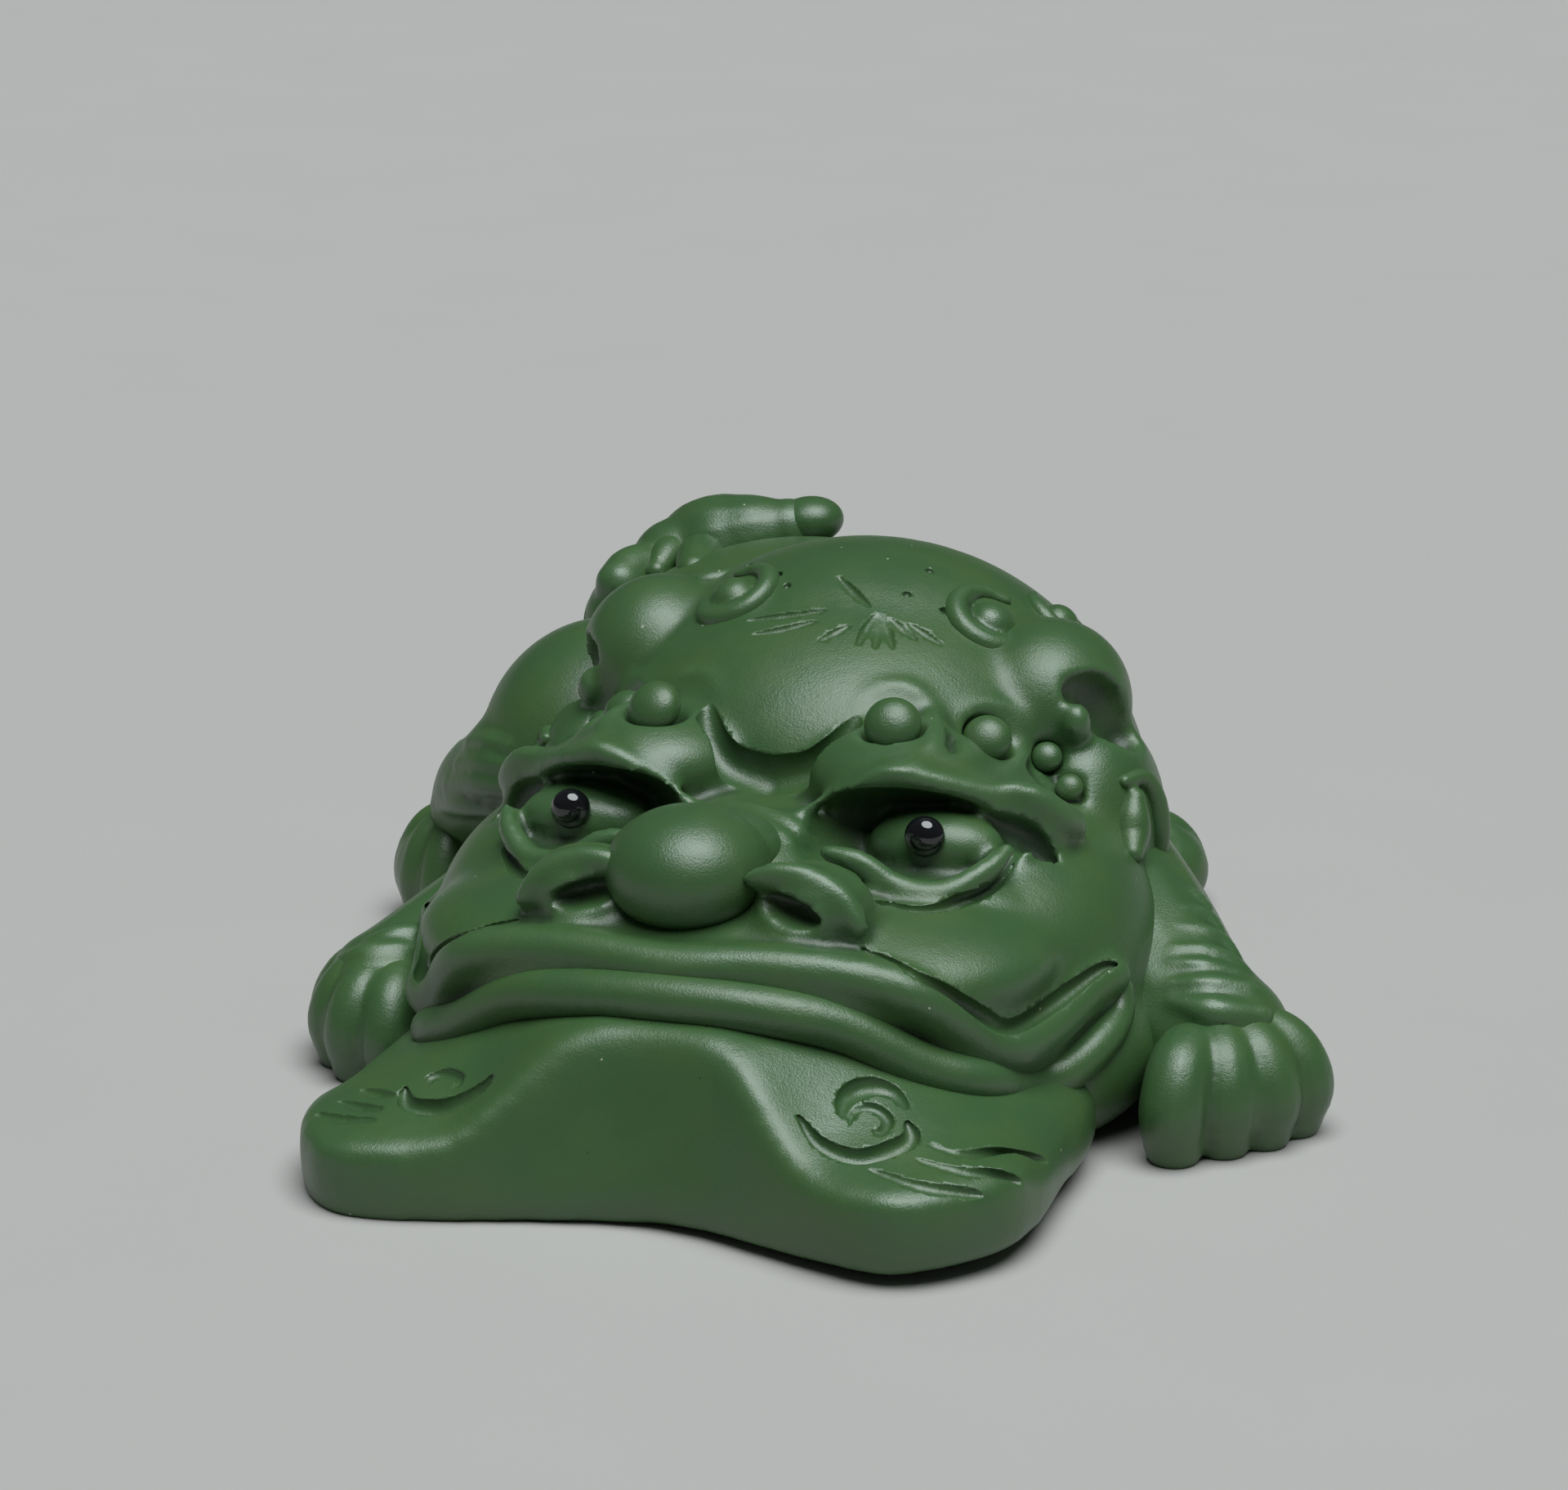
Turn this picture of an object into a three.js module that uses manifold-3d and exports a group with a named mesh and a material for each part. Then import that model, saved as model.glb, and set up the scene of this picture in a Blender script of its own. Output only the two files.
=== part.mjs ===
// Recumbent guardian beast, a hand-built clay ornament for the tea table.
// Separate clay pieces are seated on each other with a thin slip seam.
// Millimetres, +Z up, the face towards -Y.
import * as THREE from 'three';
import { mergeVertices } from 'three/addons/utils/BufferGeometryUtils.js';
import Module from 'manifold-3d';

const wasm = await Module();
wasm.setup();

// Clay construction
const WALL = 3.5;
const SEAM = 0.3;
const SLAB_THICKNESS = 3.5;
const VENT_DIAMETER = 9;
const NECK_DIAMETER = 12;

// Pose: the head turns and tips a little, and the hips swing the other way
const HEAD_YAW = -6;
const HEAD_ROLL = -2;
const HIPS_YAW = 17;
const HIPS_X = -9;
const HIPS_Y = 36;

// Body
const HUMP_HEIGHT = 39.5;
const HUMP_WIDTH = 48;
const HUMP_LENGTH = 44;
const HUMP_X = 1;
const HUMP_Y = 17;
const HIP_HEIGHT = 34;
const HIP_WIDTH = 46;
const HIP_LENGTH = 44;

// Head
const HEAD_WIDTH = 64;
const CROWN_HEIGHT = 38;
const CROWN_WIDTH = 42;
const CROWN_LENGTH = 42;
const CROWN_DEPTH = 28;
const CROWN_Y = 14;
const CHEEK_WIDTH = 27;
const CHEEK_LENGTH = 34;
const CHEEK_HEIGHT = 26;
const CHEEK_Y = -8;
const SNOUT_REACH = 35;
const MUZZLE_WIDTH = 50;
const MUZZLE_LENGTH = 34;
const MUZZLE_HEIGHT = 15;
const MUZZLE_TOP = 23.5;
const BRIDGE_WIDTH = 18;
const BRIDGE_LENGTH = 22;
const BRIDGE_HEIGHT = 13;
const BRIDGE_TOP = 28;
const BRIDGE_Y = -13;
const SKULL_WIDTH = 55;
const SKULL_LENGTH = 42;
const SKULL_HEIGHT = 34;
const SKULL_Y = 3;
const EAR_WIDTH = 15;
const EAR_LENGTH = 16;
const EAR_HEIGHT = 14;
const EAR_SPREAD = 40;
const EAR_Y = 7;
const EAR_TOP = 36;
const EAR_HOLLOW = 7;
const EAR_HOLLOW_FORWARD = 2;

// Jaw and beard
const JAW_WIDTH = 58;
const JAW_LENGTH = 46;
const JAW_HEIGHT = 15;
const JAW_DROOP = 0.5;
const JAW_BACK = -15;
const JAW_UNDERBITE = 1;
const JAW_FLARE = 1.1;
const BEARD_WIDTH = 58;
const BEARD_NOTCH_REACH = 5.3;
const LOBE_HEIGHT = 7.5;
const LOBE_BEVEL = 2;
const LOBE_REACH = 10.3;
const LOBE_SPREAD = 43;
const LOBE_TURN_IN = 1;
const LOBE_CHEEK_INSET = 2;
const BEARD_CURL_WIDTH = 7.5;
const BEARD_CURL_LENGTH_SHARE = 0.8;
const BEARD_CURL_COIL = 1.1;
const BEARD_CURL_TURNS = 1.25;
const BEARD_CURL_TIGHTEN = 0.75;
const BEARD_CURL_INSET = 3;
const BEARD_CURL_STEPS = 14;

// Face details
const LIP_THICKNESS = 3.6;
const LIP_END_THICKNESS = 3;
const LIP_MIDDLE_Z = 18.4;
const LIP_LOW_Z = 10.6;
const LIP_CORNER_Z = 13.4;
const LIP_LOW_X = 26;
const LIP_CORNER_X = 31;
const LIP_CORNER_Y = -16;
const LIP_STATIONS = [0, 8, 15, 20, 23];
const LIP_FLATNESS = 1.6;
const NOSE_WIDTH = 12.2;
const NOSE_LENGTH = 10.4;
const NOSE_HEIGHT = 9.2;
const NOSE_Z = 24.3;
const NOSTRIL_WIDTH = 9.6;
const NOSTRIL_HEIGHT = 7.4;
const NOSTRIL_SPREAD = 20;
const NOSTRIL_Z = 22;
const NOSTRIL_PROUD = 2;
const NOSTRIL_HOLLOW = 4.6;
const NOSTRIL_HOLLOW_HEIGHT = 3.2;
const PUPIL_DIAMETER = 3.3;
const PUPIL_SPREAD = 30.2;
const PUPIL_Z = 24.8;
const EYELID_THICKNESS = 2.4;
const EYELID_WIDTH = 13;
const EYELID_SAG = 3.4;
const BROW_MOUND_WIDTH = 22;
const BROW_MOUND_LENGTH = 17;
const BROW_MOUND_HEIGHT = 11;
const BROW_MOUND_TOP = 30.5;
const BROW_MOUND_SPREAD = 28;
const BROW_MOUND_Y = -5;
const BROW_THICKNESS = 6.4;
const BROW_END_THICKNESS = 4.6;
const BROW_MIDDLE_THICKNESS = 5.4;
const BROW_SET_BACK = 3.4;
const BROW_END_SET_BACK = 9.5;
const BROW_HALF_WIDTH = 24;
const BROW_ARCH_Z = 28;
const BROW_MIDDLE_Z = 26.5;
const BROW_END_Z = 23.8;
const PELLET_DIAMETERS = [4.4, 4.4, 3.6, 3.2];
const PELLET_X = [10.1, 16.3, 20.8, 23.6];
const PELLET_Y = [-5, -1.2, -0.6, -4.2];
const SIDE_CURL_WIDTH = 8;
const SIDE_CURL_HEIGHT = 13;
const SIDE_CURL_Y = 3;
const SIDE_CURL_Z = 19;
const MANE_CURL_WIDTHS = [9, 9];
const MANE_CURL_HEIGHTS = [7.2, 7.2];
const MANE_CURL_X = [11, 15.5];
const MANE_CURL_Y = [15, 20];

// Legs, paws and tail
const FRONT_LEG_THICKNESS = 19;
const FRONT_WRIST_THICKNESS = 14.5;
const FRONT_SHOULDER_Z = 14;
const FRONT_SHOULDER_Y = 9;
const FRONT_ELBOW_OUT = 2.5;
const FRONT_PAW_WIDTH = 17;
const FRONT_PAW_LENGTH = 17;
const FRONT_PAW_HEIGHT = 10.5;
const FRONT_PAW_X = { left: 37, right: 32 };
const FRONT_PAW_Y = -10;
const HAUNCH_WIDTH = 26;
const HAUNCH_LENGTH = 34;
const HAUNCH_HEIGHT = 31.5;
const HAUNCH_X = { left: 15, right: 20 };
const HAUNCH_Y = -9;
const HIND_PAW_WIDTH = 14;
const HIND_PAW_LENGTH = 15;
const HIND_PAW_HEIGHT = 8.6;
const HIND_PAW_X = { left: 30, right: 30 };
const HIND_PAW_Y = -3;
const TOE_COUNT = 4;
const TOE_SPREAD = 105;
const FRONT_TOE_WIDTH = 7.2;
const HIND_TOE_WIDTH = 6;
const FRONT_PAW_HEADING = 25;
const HIND_PAW_HEADING = 30;
const TAIL_THICKNESS = 15;
const TAIL_ROOT_THICKNESS = 12;
const TAIL_TOP_Z = 36.2;
const TAIL_X = [-5.5, -7.5, -10.5, -9.5];
const TAIL_INSET = [4, 4, 9, 17];
const TAIL_BEND_DROP = 6;
const TAIL_TIP_DIAMETER = 5.2;
const TAIL_TIP_LENGTH = 6.8;
const TAIL_TIP_X = 0.5;
const TAIL_TIP_INSET = 9;
const TAIL_CURL_DIAMETER = 6.5;
const TAIL_CURL_HEIGHT = 10;
const TAIL_CURL_X = [-13.5, -10];
const TAIL_CURL_Y = [2.5, -2];

// Facets: around and along a ball, around and along a coil
const BALL_AROUND = 14;
const BALL_ALONG = 10;
const SMALL_AROUND = 8;
const SMALL_ALONG = 6;
const COIL_AROUND = 7;
const COIL_ALONG = 10;

const CLAY = new THREE.MeshStandardMaterial({ color: 0x2c5a2c, roughness: 0.55, metalness: 0 });
const BLACK_GLAZE = new THREE.MeshStandardMaterial({ color: 0x08090a, roughness: 0.08, metalness: 0 });

const SIDES = { left: 1, right: -1 };
const radians = THREE.MathUtils.degToRad;
const vector = (x, y, z) => new THREE.Vector3(x, y, z);

// Frames of the three sub-assemblies
const figure = new THREE.Group();
const shoulders = new THREE.Group();
const head = new THREE.Group();
head.rotation.set(0, radians(HEAD_ROLL), radians(HEAD_YAW), 'ZYX');
const hips = new THREE.Group();
hips.position.set(HIPS_X, HIPS_Y, 0);
hips.rotation.z = radians(HIPS_YAW);
figure.add(shoulders, head, hips);
figure.updateMatrixWorld(true);

// A closed geometry of one frame becomes a solid in the figure's own axes
function solidOf(geometry, frame = shoulders) {
  const bare = geometry.clone();
  bare.deleteAttribute('normal');
  bare.deleteAttribute('uv');
  bare.applyMatrix4(frame.matrixWorld);
  const merged = mergeVertices(bare, 1e-4);
  const corners = [];
  const index = merged.index.array;
  for (let i = 0; i < index.length; i += 3) {
    const [a, b, c] = [index[i], index[i + 1], index[i + 2]];
    if (a !== b && b !== c && c !== a) corners.push(a, b, c);
  }
  const vertProperties = new Float32Array(merged.attributes.position.array);
  return new wasm.Manifold(new wasm.Mesh({ numProp: 3, vertProperties, triVerts: new Uint32Array(corners) }));
}

const joined = (solids) => solids.reduce((whole, solid) => whole.add(solid));
const cutBy = (solid, cutters) => cutters.reduce((rest, cutter) => rest.subtract(cutter), solid);

// The largest of the bodies that a cut leaves
function mainBody(solid) {
  return solid.decompose().reduce((best, body) => (body.volume() > best.volume() ? body : best));
}

// Mass: an ellipsoid of clay given by its centre and its three full sizes
const mass = (x, y, z, width, length, height) => (
  { centre: vector(x, y, z), half: vector(width / 2, length / 2, height / 2) }
);
const roundMass = (x, y, z, diameter) => mass(x, y, z, diameter, diameter, diameter);

function ball(shape, grow = 0, frame = shoulders, around = BALL_AROUND, along = BALL_ALONG) {
  const geometry = new THREE.SphereGeometry(1, around, along).rotateX(Math.PI / 2);
  geometry.scale(shape.half.x + grow, shape.half.y + grow, shape.half.z + grow);
  geometry.translate(shape.centre.x, shape.centre.y, shape.centre.z);
  return solidOf(geometry, frame);
}

const smallBall = (shape, grow, frame) => ball(shape, grow, frame, SMALL_AROUND, SMALL_ALONG);
const balls = (shapes, grow, frame) => joined(shapes.map((shape) => ball(shape, grow, frame)));
const smallBalls = (shapes, grow, frame) => joined(shapes.map((shape) => smallBall(shape, grow, frame)));

function box(low, high, frame = shoulders) {
  const size = high.clone().sub(low);
  const middle = high.clone().add(low).multiplyScalar(0.5);
  const geometry = new THREE.BoxGeometry(size.x, size.y, size.z).translate(middle.x, middle.y, middle.z);
  return solidOf(geometry, frame);
}

// Coil: a rolled string of clay with round ends, its thickness changing along its path
function coil(points, thicknesses, grow = 0, frame = shoulders, along = COIL_ALONG) {
  const path = new THREE.CatmullRomCurve3(points);
  const frames = path.computeFrenetFrames(along);
  const geometry = new THREE.CapsuleGeometry(1, along, 4, COIL_AROUND, along);
  const position = geometry.attributes.position;
  const spots = thicknesses.length - 1;
  for (let i = 0; i < position.count; i += 1) {
    const height = position.getY(i) + along / 2;
    const step = THREE.MathUtils.clamp(height, 0, along);
    const ring = Math.round(step);
    const spot = Math.min(Math.floor((step / along) * spots), spots - 1);
    const share = (step / along) * spots - spot;
    const radius = THREE.MathUtils.lerp(thicknesses[spot], thicknesses[spot + 1], share) / 2 + grow;
    const place = path.getPointAt(step / along)
      .addScaledVector(frames.tangents[ring], (height - step) * radius)
      .addScaledVector(frames.normals[ring], position.getX(i) * radius)
      .addScaledVector(frames.binormals[ring], position.getZ(i) * radius);
    position.setXYZ(i, place.x, place.y, place.z);
  }
  const solid = solidOf(geometry, frame);
  return solid.volume() > 0 ? solid : solidOf(flipped(geometry), frame);
}

function flipped(geometry) {
  const turned = geometry.clone();
  const index = turned.index.array;
  for (let i = 0; i < index.length; i += 3) [index[i], index[i + 1]] = [index[i + 1], index[i]];
  return turned;
}

// Where a line along one axis leaves a group of masses: the surface that a detail is seated on
function reach(shapes, axis, sign, fixed) {
  const others = ['x', 'y', 'z'].filter((name) => name !== axis);
  let best = -Infinity;
  for (const { centre, half } of shapes) {
    const off = others.reduce((sum, name) => sum + ((fixed[name] - centre[name]) / half[name]) ** 2, 0);
    if (off <= 1) best = Math.max(best, sign * centre[axis] + half[axis] * Math.sqrt(1 - off));
  }
  return sign * best;
}

const BODY_AXIS_Z = 15;
const SHELL_FLOOR = SLAB_THICKNESS + SEAM;
const FAR = 200;
const floor = box(vector(-FAR, -FAR, -FAR), vector(FAR, FAR, 0));
const shellFloor = box(vector(-FAR, -FAR, -FAR), vector(FAR, FAR, SHELL_FLOOR));
const bothSides = (make) => Object.values(SIDES).map(make);

// Masses of the body, in the shoulders' and the hips' frames
const hump = mass(HUMP_X, HUMP_Y, BODY_AXIS_Z, HUMP_WIDTH, HUMP_LENGTH, 2 * (HUMP_HEIGHT - BODY_AXIS_Z));
const rump = mass(0, 0, BODY_AXIS_Z, HIP_WIDTH, HIP_LENGTH, 2 * (HIP_HEIGHT - BODY_AXIS_Z));
const torsoForm = (grow) => ball(hump, grow).add(ball(rump, grow, hips));

// Masses of the head, in the head's frame
const crown = mass(0, CROWN_Y, CROWN_HEIGHT - CROWN_DEPTH / 2, CROWN_WIDTH, CROWN_LENGTH, CROWN_DEPTH);
const cheeks = bothSides((side) => mass(
  side * (HEAD_WIDTH - CHEEK_WIDTH) / 2, CHEEK_Y, CHEEK_HEIGHT / 2,
  CHEEK_WIDTH, CHEEK_LENGTH, CHEEK_HEIGHT,
));
const muzzle = mass(
  0, MUZZLE_LENGTH / 2 - SNOUT_REACH, MUZZLE_TOP - MUZZLE_HEIGHT / 2,
  MUZZLE_WIDTH, MUZZLE_LENGTH, MUZZLE_HEIGHT,
);
const bridge = mass(
  0, BRIDGE_Y, BRIDGE_TOP - BRIDGE_HEIGHT / 2, BRIDGE_WIDTH, BRIDGE_LENGTH, BRIDGE_HEIGHT,
);
const skull = mass(0, SKULL_Y, CHEEK_HEIGHT / 2, SKULL_WIDTH, SKULL_LENGTH, SKULL_HEIGHT);
const ears = bothSides((side) => (
  mass(side * EAR_SPREAD / 2, EAR_Y, EAR_TOP - EAR_HEIGHT / 2, EAR_WIDTH, EAR_LENGTH, EAR_HEIGHT)
));
const browMounds = bothSides((side) => mass(
  side * BROW_MOUND_SPREAD / 2, BROW_MOUND_Y, BROW_MOUND_TOP - BROW_MOUND_HEIGHT / 2,
  BROW_MOUND_WIDTH, BROW_MOUND_LENGTH, BROW_MOUND_HEIGHT,
));
const hollowMasses = [crown, ...cheeks, skull];
const headMasses = [...hollowMasses, muzzle, bridge, ...browMounds, ...ears];
const headForm = (grow) => balls(headMasses, grow, head);
const onFace = (x, z) => reach(headMasses, 'y', -1, { x, z });
const onCrown = (x, y) => reach(headMasses, 'z', 1, { x, y });
const onCheek = (y, z) => reach(headMasses, 'x', 1, { y, z });

// Jaw: a squat drum of clay whose top droops to the sides, with two flared beard lobes in front
function jawDrum(grow) {
  const edge = [[0, 0], [JAW_FLARE, 0], [1, 0.6], [0.95, 0.84], [0.8, 1], [0, 1]];
  const profile = edge.map(([across, up]) => new THREE.Vector2(across, up));
  const geometry = new THREE.LatheGeometry(profile, BALL_AROUND).rotateX(Math.PI / 2);
  const position = geometry.attributes.position;
  for (let i = 0; i < position.count; i += 1) {
    const x = position.getX(i);
    position.setZ(i, position.getZ(i) * (JAW_HEIGHT + grow) * (1 - JAW_DROOP * x * x));
  }
  geometry.scale(JAW_WIDTH / 2 + grow, JAW_LENGTH / 2 + grow, 1);
  geometry.translate(0, JAW_LENGTH / 2 - SNOUT_REACH - JAW_UNDERBITE, 0);
  return solidOf(geometry, head);
}

const LOBE_FRONT = -SNOUT_REACH - LOBE_REACH;

function lobeSlab(grow) {
  const front = LOBE_FRONT + LOBE_BEVEL;
  const notch = LOBE_BEVEL - SNOUT_REACH - BEARD_NOTCH_REACH;
  const tip = LOBE_SPREAD / 2;
  const outer = BEARD_WIDTH / 2 - LOBE_BEVEL;
  const half = [[0, notch], [tip / 2, (notch + front) / 2], [tip - LOBE_BEVEL, front],
    [tip + LOBE_BEVEL, front + LOBE_TURN_IN], [outer, notch + LOBE_CHEEK_INSET], [outer, JAW_BACK]];
  const points = [...half, ...half.slice(1).reverse().map(([x, y]) => [-x, y])];
  const outline = new THREE.CatmullRomCurve3(points.map(([x, y]) => vector(x, y, 0)), true).getPoints(36);
  const geometry = new THREE.ExtrudeGeometry(new THREE.Shape(outline), {
    depth: LOBE_HEIGHT - LOBE_BEVEL,
    bevelSize: LOBE_BEVEL + grow,
    bevelThickness: LOBE_BEVEL + grow,
    bevelSegments: 2,
  });
  return solidOf(geometry, head);
}

function beardForm(grow) {
  const back = box(vector(-FAR, JAW_BACK + grow, -FAR), vector(FAR, FAR, FAR), head);
  return jawDrum(grow).add(lobeSlab(grow)).subtract(back);
}

// Lips: two coils along the mouth line, which dips towards the cheeks and hooks up at the corners
function mouthLine(x) {
  if (x <= LIP_LOW_X) {
    const drop = (1 - Math.cos(Math.PI * (x / LIP_LOW_X) ** LIP_FLATNESS)) / 2;
    return THREE.MathUtils.lerp(LIP_MIDDLE_Z, LIP_LOW_Z, drop);
  }
  const rise = (x - LIP_LOW_X) / (LIP_CORNER_X - LIP_LOW_X);
  return THREE.MathUtils.lerp(LIP_LOW_Z, LIP_CORNER_Z, rise * rise);
}

function lipForm(lift, grow = 0) {
  const stations = [...LIP_STATIONS, LIP_LOW_X, (LIP_LOW_X + LIP_CORNER_X) / 2, LIP_CORNER_X];
  const half = stations.map((x) => {
    const z = mouthLine(x) + lift * LIP_THICKNESS / 2;
    const seat = onFace(x, z);
    return vector(x, Number.isFinite(seat) ? seat - LIP_THICKNESS / 8 : LIP_CORNER_Y, z);
  });
  const other = half.slice(1).reverse().map(({ x, y, z }) => vector(-x, y, z));
  const thicknesses = [LIP_END_THICKNESS, LIP_THICKNESS, LIP_THICKNESS, LIP_THICKNESS, LIP_END_THICKNESS];
  return coil([...other, ...half], thicknesses, grow, head, 2 * COIL_ALONG);
}

// Nose, nostrils and eyes
const noseMass = mass(0, onFace(0, NOSE_Z), NOSE_Z, NOSE_WIDTH, NOSE_LENGTH, NOSE_HEIGHT);
const nostrilMass = (side) => mass(
  side * NOSTRIL_SPREAD / 2, onFace(NOSTRIL_SPREAD / 2, NOSTRIL_Z) - NOSTRIL_PROUD, NOSTRIL_Z,
  NOSTRIL_WIDTH, NOSTRIL_WIDTH, NOSTRIL_HEIGHT,
);
const nostrilHollow = (side) => {
  const { centre } = nostrilMass(side);
  const mouth = centre.y - NOSTRIL_WIDTH / 2;
  return mass(centre.x, mouth, centre.z, NOSTRIL_HOLLOW, NOSTRIL_HOLLOW, NOSTRIL_HOLLOW_HEIGHT);
};
const pupilMass = (side) => roundMass(
  side * PUPIL_SPREAD / 2, onFace(PUPIL_SPREAD / 2, PUPIL_Z), PUPIL_Z, PUPIL_DIAMETER,
);

function eyelidForm(side, grow = 0) {
  const steps = [-1, -0.5, 0, 0.5, 1];
  const points = steps.map((step) => {
    const x = PUPIL_SPREAD / 2 + step * EYELID_WIDTH / 2;
    const y = onFace(PUPIL_SPREAD / 2, PUPIL_Z) - EYELID_SAG * (1 - step * step);
    return vector(side * x, y, onCrown(x, y));
  });
  return coil(points, [EYELID_THICKNESS, EYELID_THICKNESS], grow, head);
}

// Brow band with its row of curl pellets
function browForm(grow = 0) {
  const arch = PUPIL_SPREAD / 2;
  const seat = onFace(arch, PUPIL_Z);
  const half = [[0, BROW_SET_BACK, BROW_MIDDLE_Z], [arch / 2, BROW_SET_BACK, BROW_ARCH_Z],
    [arch, BROW_SET_BACK, BROW_ARCH_Z], [BROW_HALF_WIDTH, BROW_END_SET_BACK, BROW_END_Z]];
  const points = half.map(([x, back, z]) => vector(x, seat + back, z));
  const other = points.slice(1).reverse().map(({ x, y, z }) => vector(-x, y, z));
  const ends = [BROW_END_THICKNESS, BROW_THICKNESS];
  const thicknesses = [...ends, BROW_MIDDLE_THICKNESS, ...ends.slice().reverse()];
  return coil([...other, ...points], thicknesses, grow, head, 2 * COIL_ALONG);
}

const pelletMass = (side, i) => {
  const seat = onCrown(PELLET_X[i], PELLET_Y[i]);
  return roundMass(side * PELLET_X[i], PELLET_Y[i], seat + PELLET_DIAMETERS[i] / 4, PELLET_DIAMETERS[i]);
};

// Curls
const sideCurlMass = (side) => mass(
  side * onCheek(SIDE_CURL_Y, SIDE_CURL_Z), SIDE_CURL_Y, SIDE_CURL_Z,
  SIDE_CURL_WIDTH, SIDE_CURL_WIDTH, SIDE_CURL_HEIGHT,
);
const maneCurlMass = (side, i) => {
  const [x, y] = [HUMP_X + side * MANE_CURL_X[i], MANE_CURL_Y[i]];
  const seat = reach([hump], 'z', 1, { x, y });
  return mass(x, y, seat, MANE_CURL_WIDTHS[i], MANE_CURL_WIDTHS[i], MANE_CURL_HEIGHTS[i]);
};

function beardCurlForm(side) {
  const points = [];
  for (let i = 0; i <= BEARD_CURL_STEPS; i += 1) {
    const share = i / BEARD_CURL_STEPS;
    const angle = 2 * Math.PI * BEARD_CURL_TURNS * share;
    const radius = (BEARD_CURL_WIDTH - BEARD_CURL_COIL) / 2 * (1 - BEARD_CURL_TIGHTEN * share);
    const x = LOBE_SPREAD / 2 - BEARD_CURL_INSET + radius * Math.cos(angle);
    const back = BEARD_CURL_LENGTH_SHARE * (BEARD_CURL_WIDTH / 2 + radius * Math.sin(angle));
    points.push(vector(side * x, LOBE_FRONT + LOBE_BEVEL + back, LOBE_HEIGHT + BEARD_CURL_COIL / 4));
  }
  return coil(points, [BEARD_CURL_COIL, BEARD_CURL_COIL], 0, head, 2 * COIL_ALONG);
}

// Legs: a tapering roll from the shoulder down to the wrist, then a pad with its toes
function frontLegForm(name, grow = 0) {
  const side = SIDES[name];
  const shoulder = vector(side * HUMP_WIDTH / 2 + HUMP_X, FRONT_SHOULDER_Y, FRONT_SHOULDER_Z);
  const wristY = FRONT_PAW_Y + FRONT_PAW_LENGTH / 3;
  const wrist = vector(side * FRONT_PAW_X[name], wristY, FRONT_WRIST_THICKNESS / 2);
  const elbow = shoulder.clone().lerp(wrist, 0.5).add(vector(side * FRONT_ELBOW_OUT, 0, 0));
  return coil([shoulder, elbow, wrist], [FRONT_LEG_THICKNESS, FRONT_WRIST_THICKNESS], grow, shoulders);
}

function pawForm(x, y, width, length, height, toeWidth, heading, frame) {
  const pad = mass(x, y, height / 2, width, length, height);
  const toes = [];
  for (let i = 0; i < TOE_COUNT; i += 1) {
    const angle = radians(heading + TOE_SPREAD * (i / (TOE_COUNT - 1) - 0.5));
    const out = length / 2 - toeWidth / 4;
    const [toeX, toeY] = [x + out * Math.sin(angle), y - out * Math.cos(angle)];
    toes.push(mass(toeX, toeY, height / 2, toeWidth, toeWidth, height));
  }
  return smallBalls([pad, ...toes], 0, frame);
}

const haunchMass = (name) => mass(
  SIDES[name] * HAUNCH_X[name], HAUNCH_Y, BODY_AXIS_Z,
  HAUNCH_WIDTH, HAUNCH_LENGTH, 2 * (HAUNCH_HEIGHT - BODY_AXIS_Z),
);

// Tail: a plume that rises from the rump and curls forward on to the back
const rumpBack = HIP_LENGTH / 2;
const tailTop = TAIL_TOP_Z - TAIL_THICKNESS / 2;

function tailForm(grow = 0) {
  const heights = [BODY_AXIS_Z, tailTop - TAIL_BEND_DROP, tailTop, tailTop];
  const points = heights.map((z, i) => vector(TAIL_X[i], rumpBack - TAIL_INSET[i], z));
  return coil(points, [TAIL_ROOT_THICKNESS, TAIL_THICKNESS, TAIL_ROOT_THICKNESS], grow, hips);
}

const tailTipMass = mass(
  TAIL_TIP_X, rumpBack - TAIL_TIP_INSET, TAIL_TOP_Z - TAIL_TIP_DIAMETER / 2,
  TAIL_TIP_LENGTH, TAIL_TIP_DIAMETER, TAIL_TIP_DIAMETER,
);
const tailCurlMass = (i) => mass(
  TAIL_CURL_X[i], TAIL_CURL_Y[i], reach([rump], 'z', 1, { x: TAIL_CURL_X[i], y: TAIL_CURL_Y[i] }),
  TAIL_CURL_DIAMETER, TAIL_CURL_DIAMETER, TAIL_CURL_HEIGHT,
);

// Grown forms that cut the seats of the pieces luted on to them
const torsoSeat = torsoForm(SEAM);
const headSeat = headForm(SEAM);
const beardSeat = beardForm(SEAM);

function place(name, solid, frame = shoulders, material = CLAY) {
  const { vertProperties, triVerts } = mainBody(solid).getMesh();
  const geometry = new THREE.BufferGeometry();
  geometry.setAttribute('position', new THREE.BufferAttribute(vertProperties, 3));
  geometry.setIndex(new THREE.BufferAttribute(triVerts, 1));
  geometry.applyMatrix4(frame.matrixWorld.clone().invert());
  geometry.computeVertexNormals();
  const mesh = new THREE.Mesh(geometry, material);
  mesh.name = name;
  frame.add(mesh);
}

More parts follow.
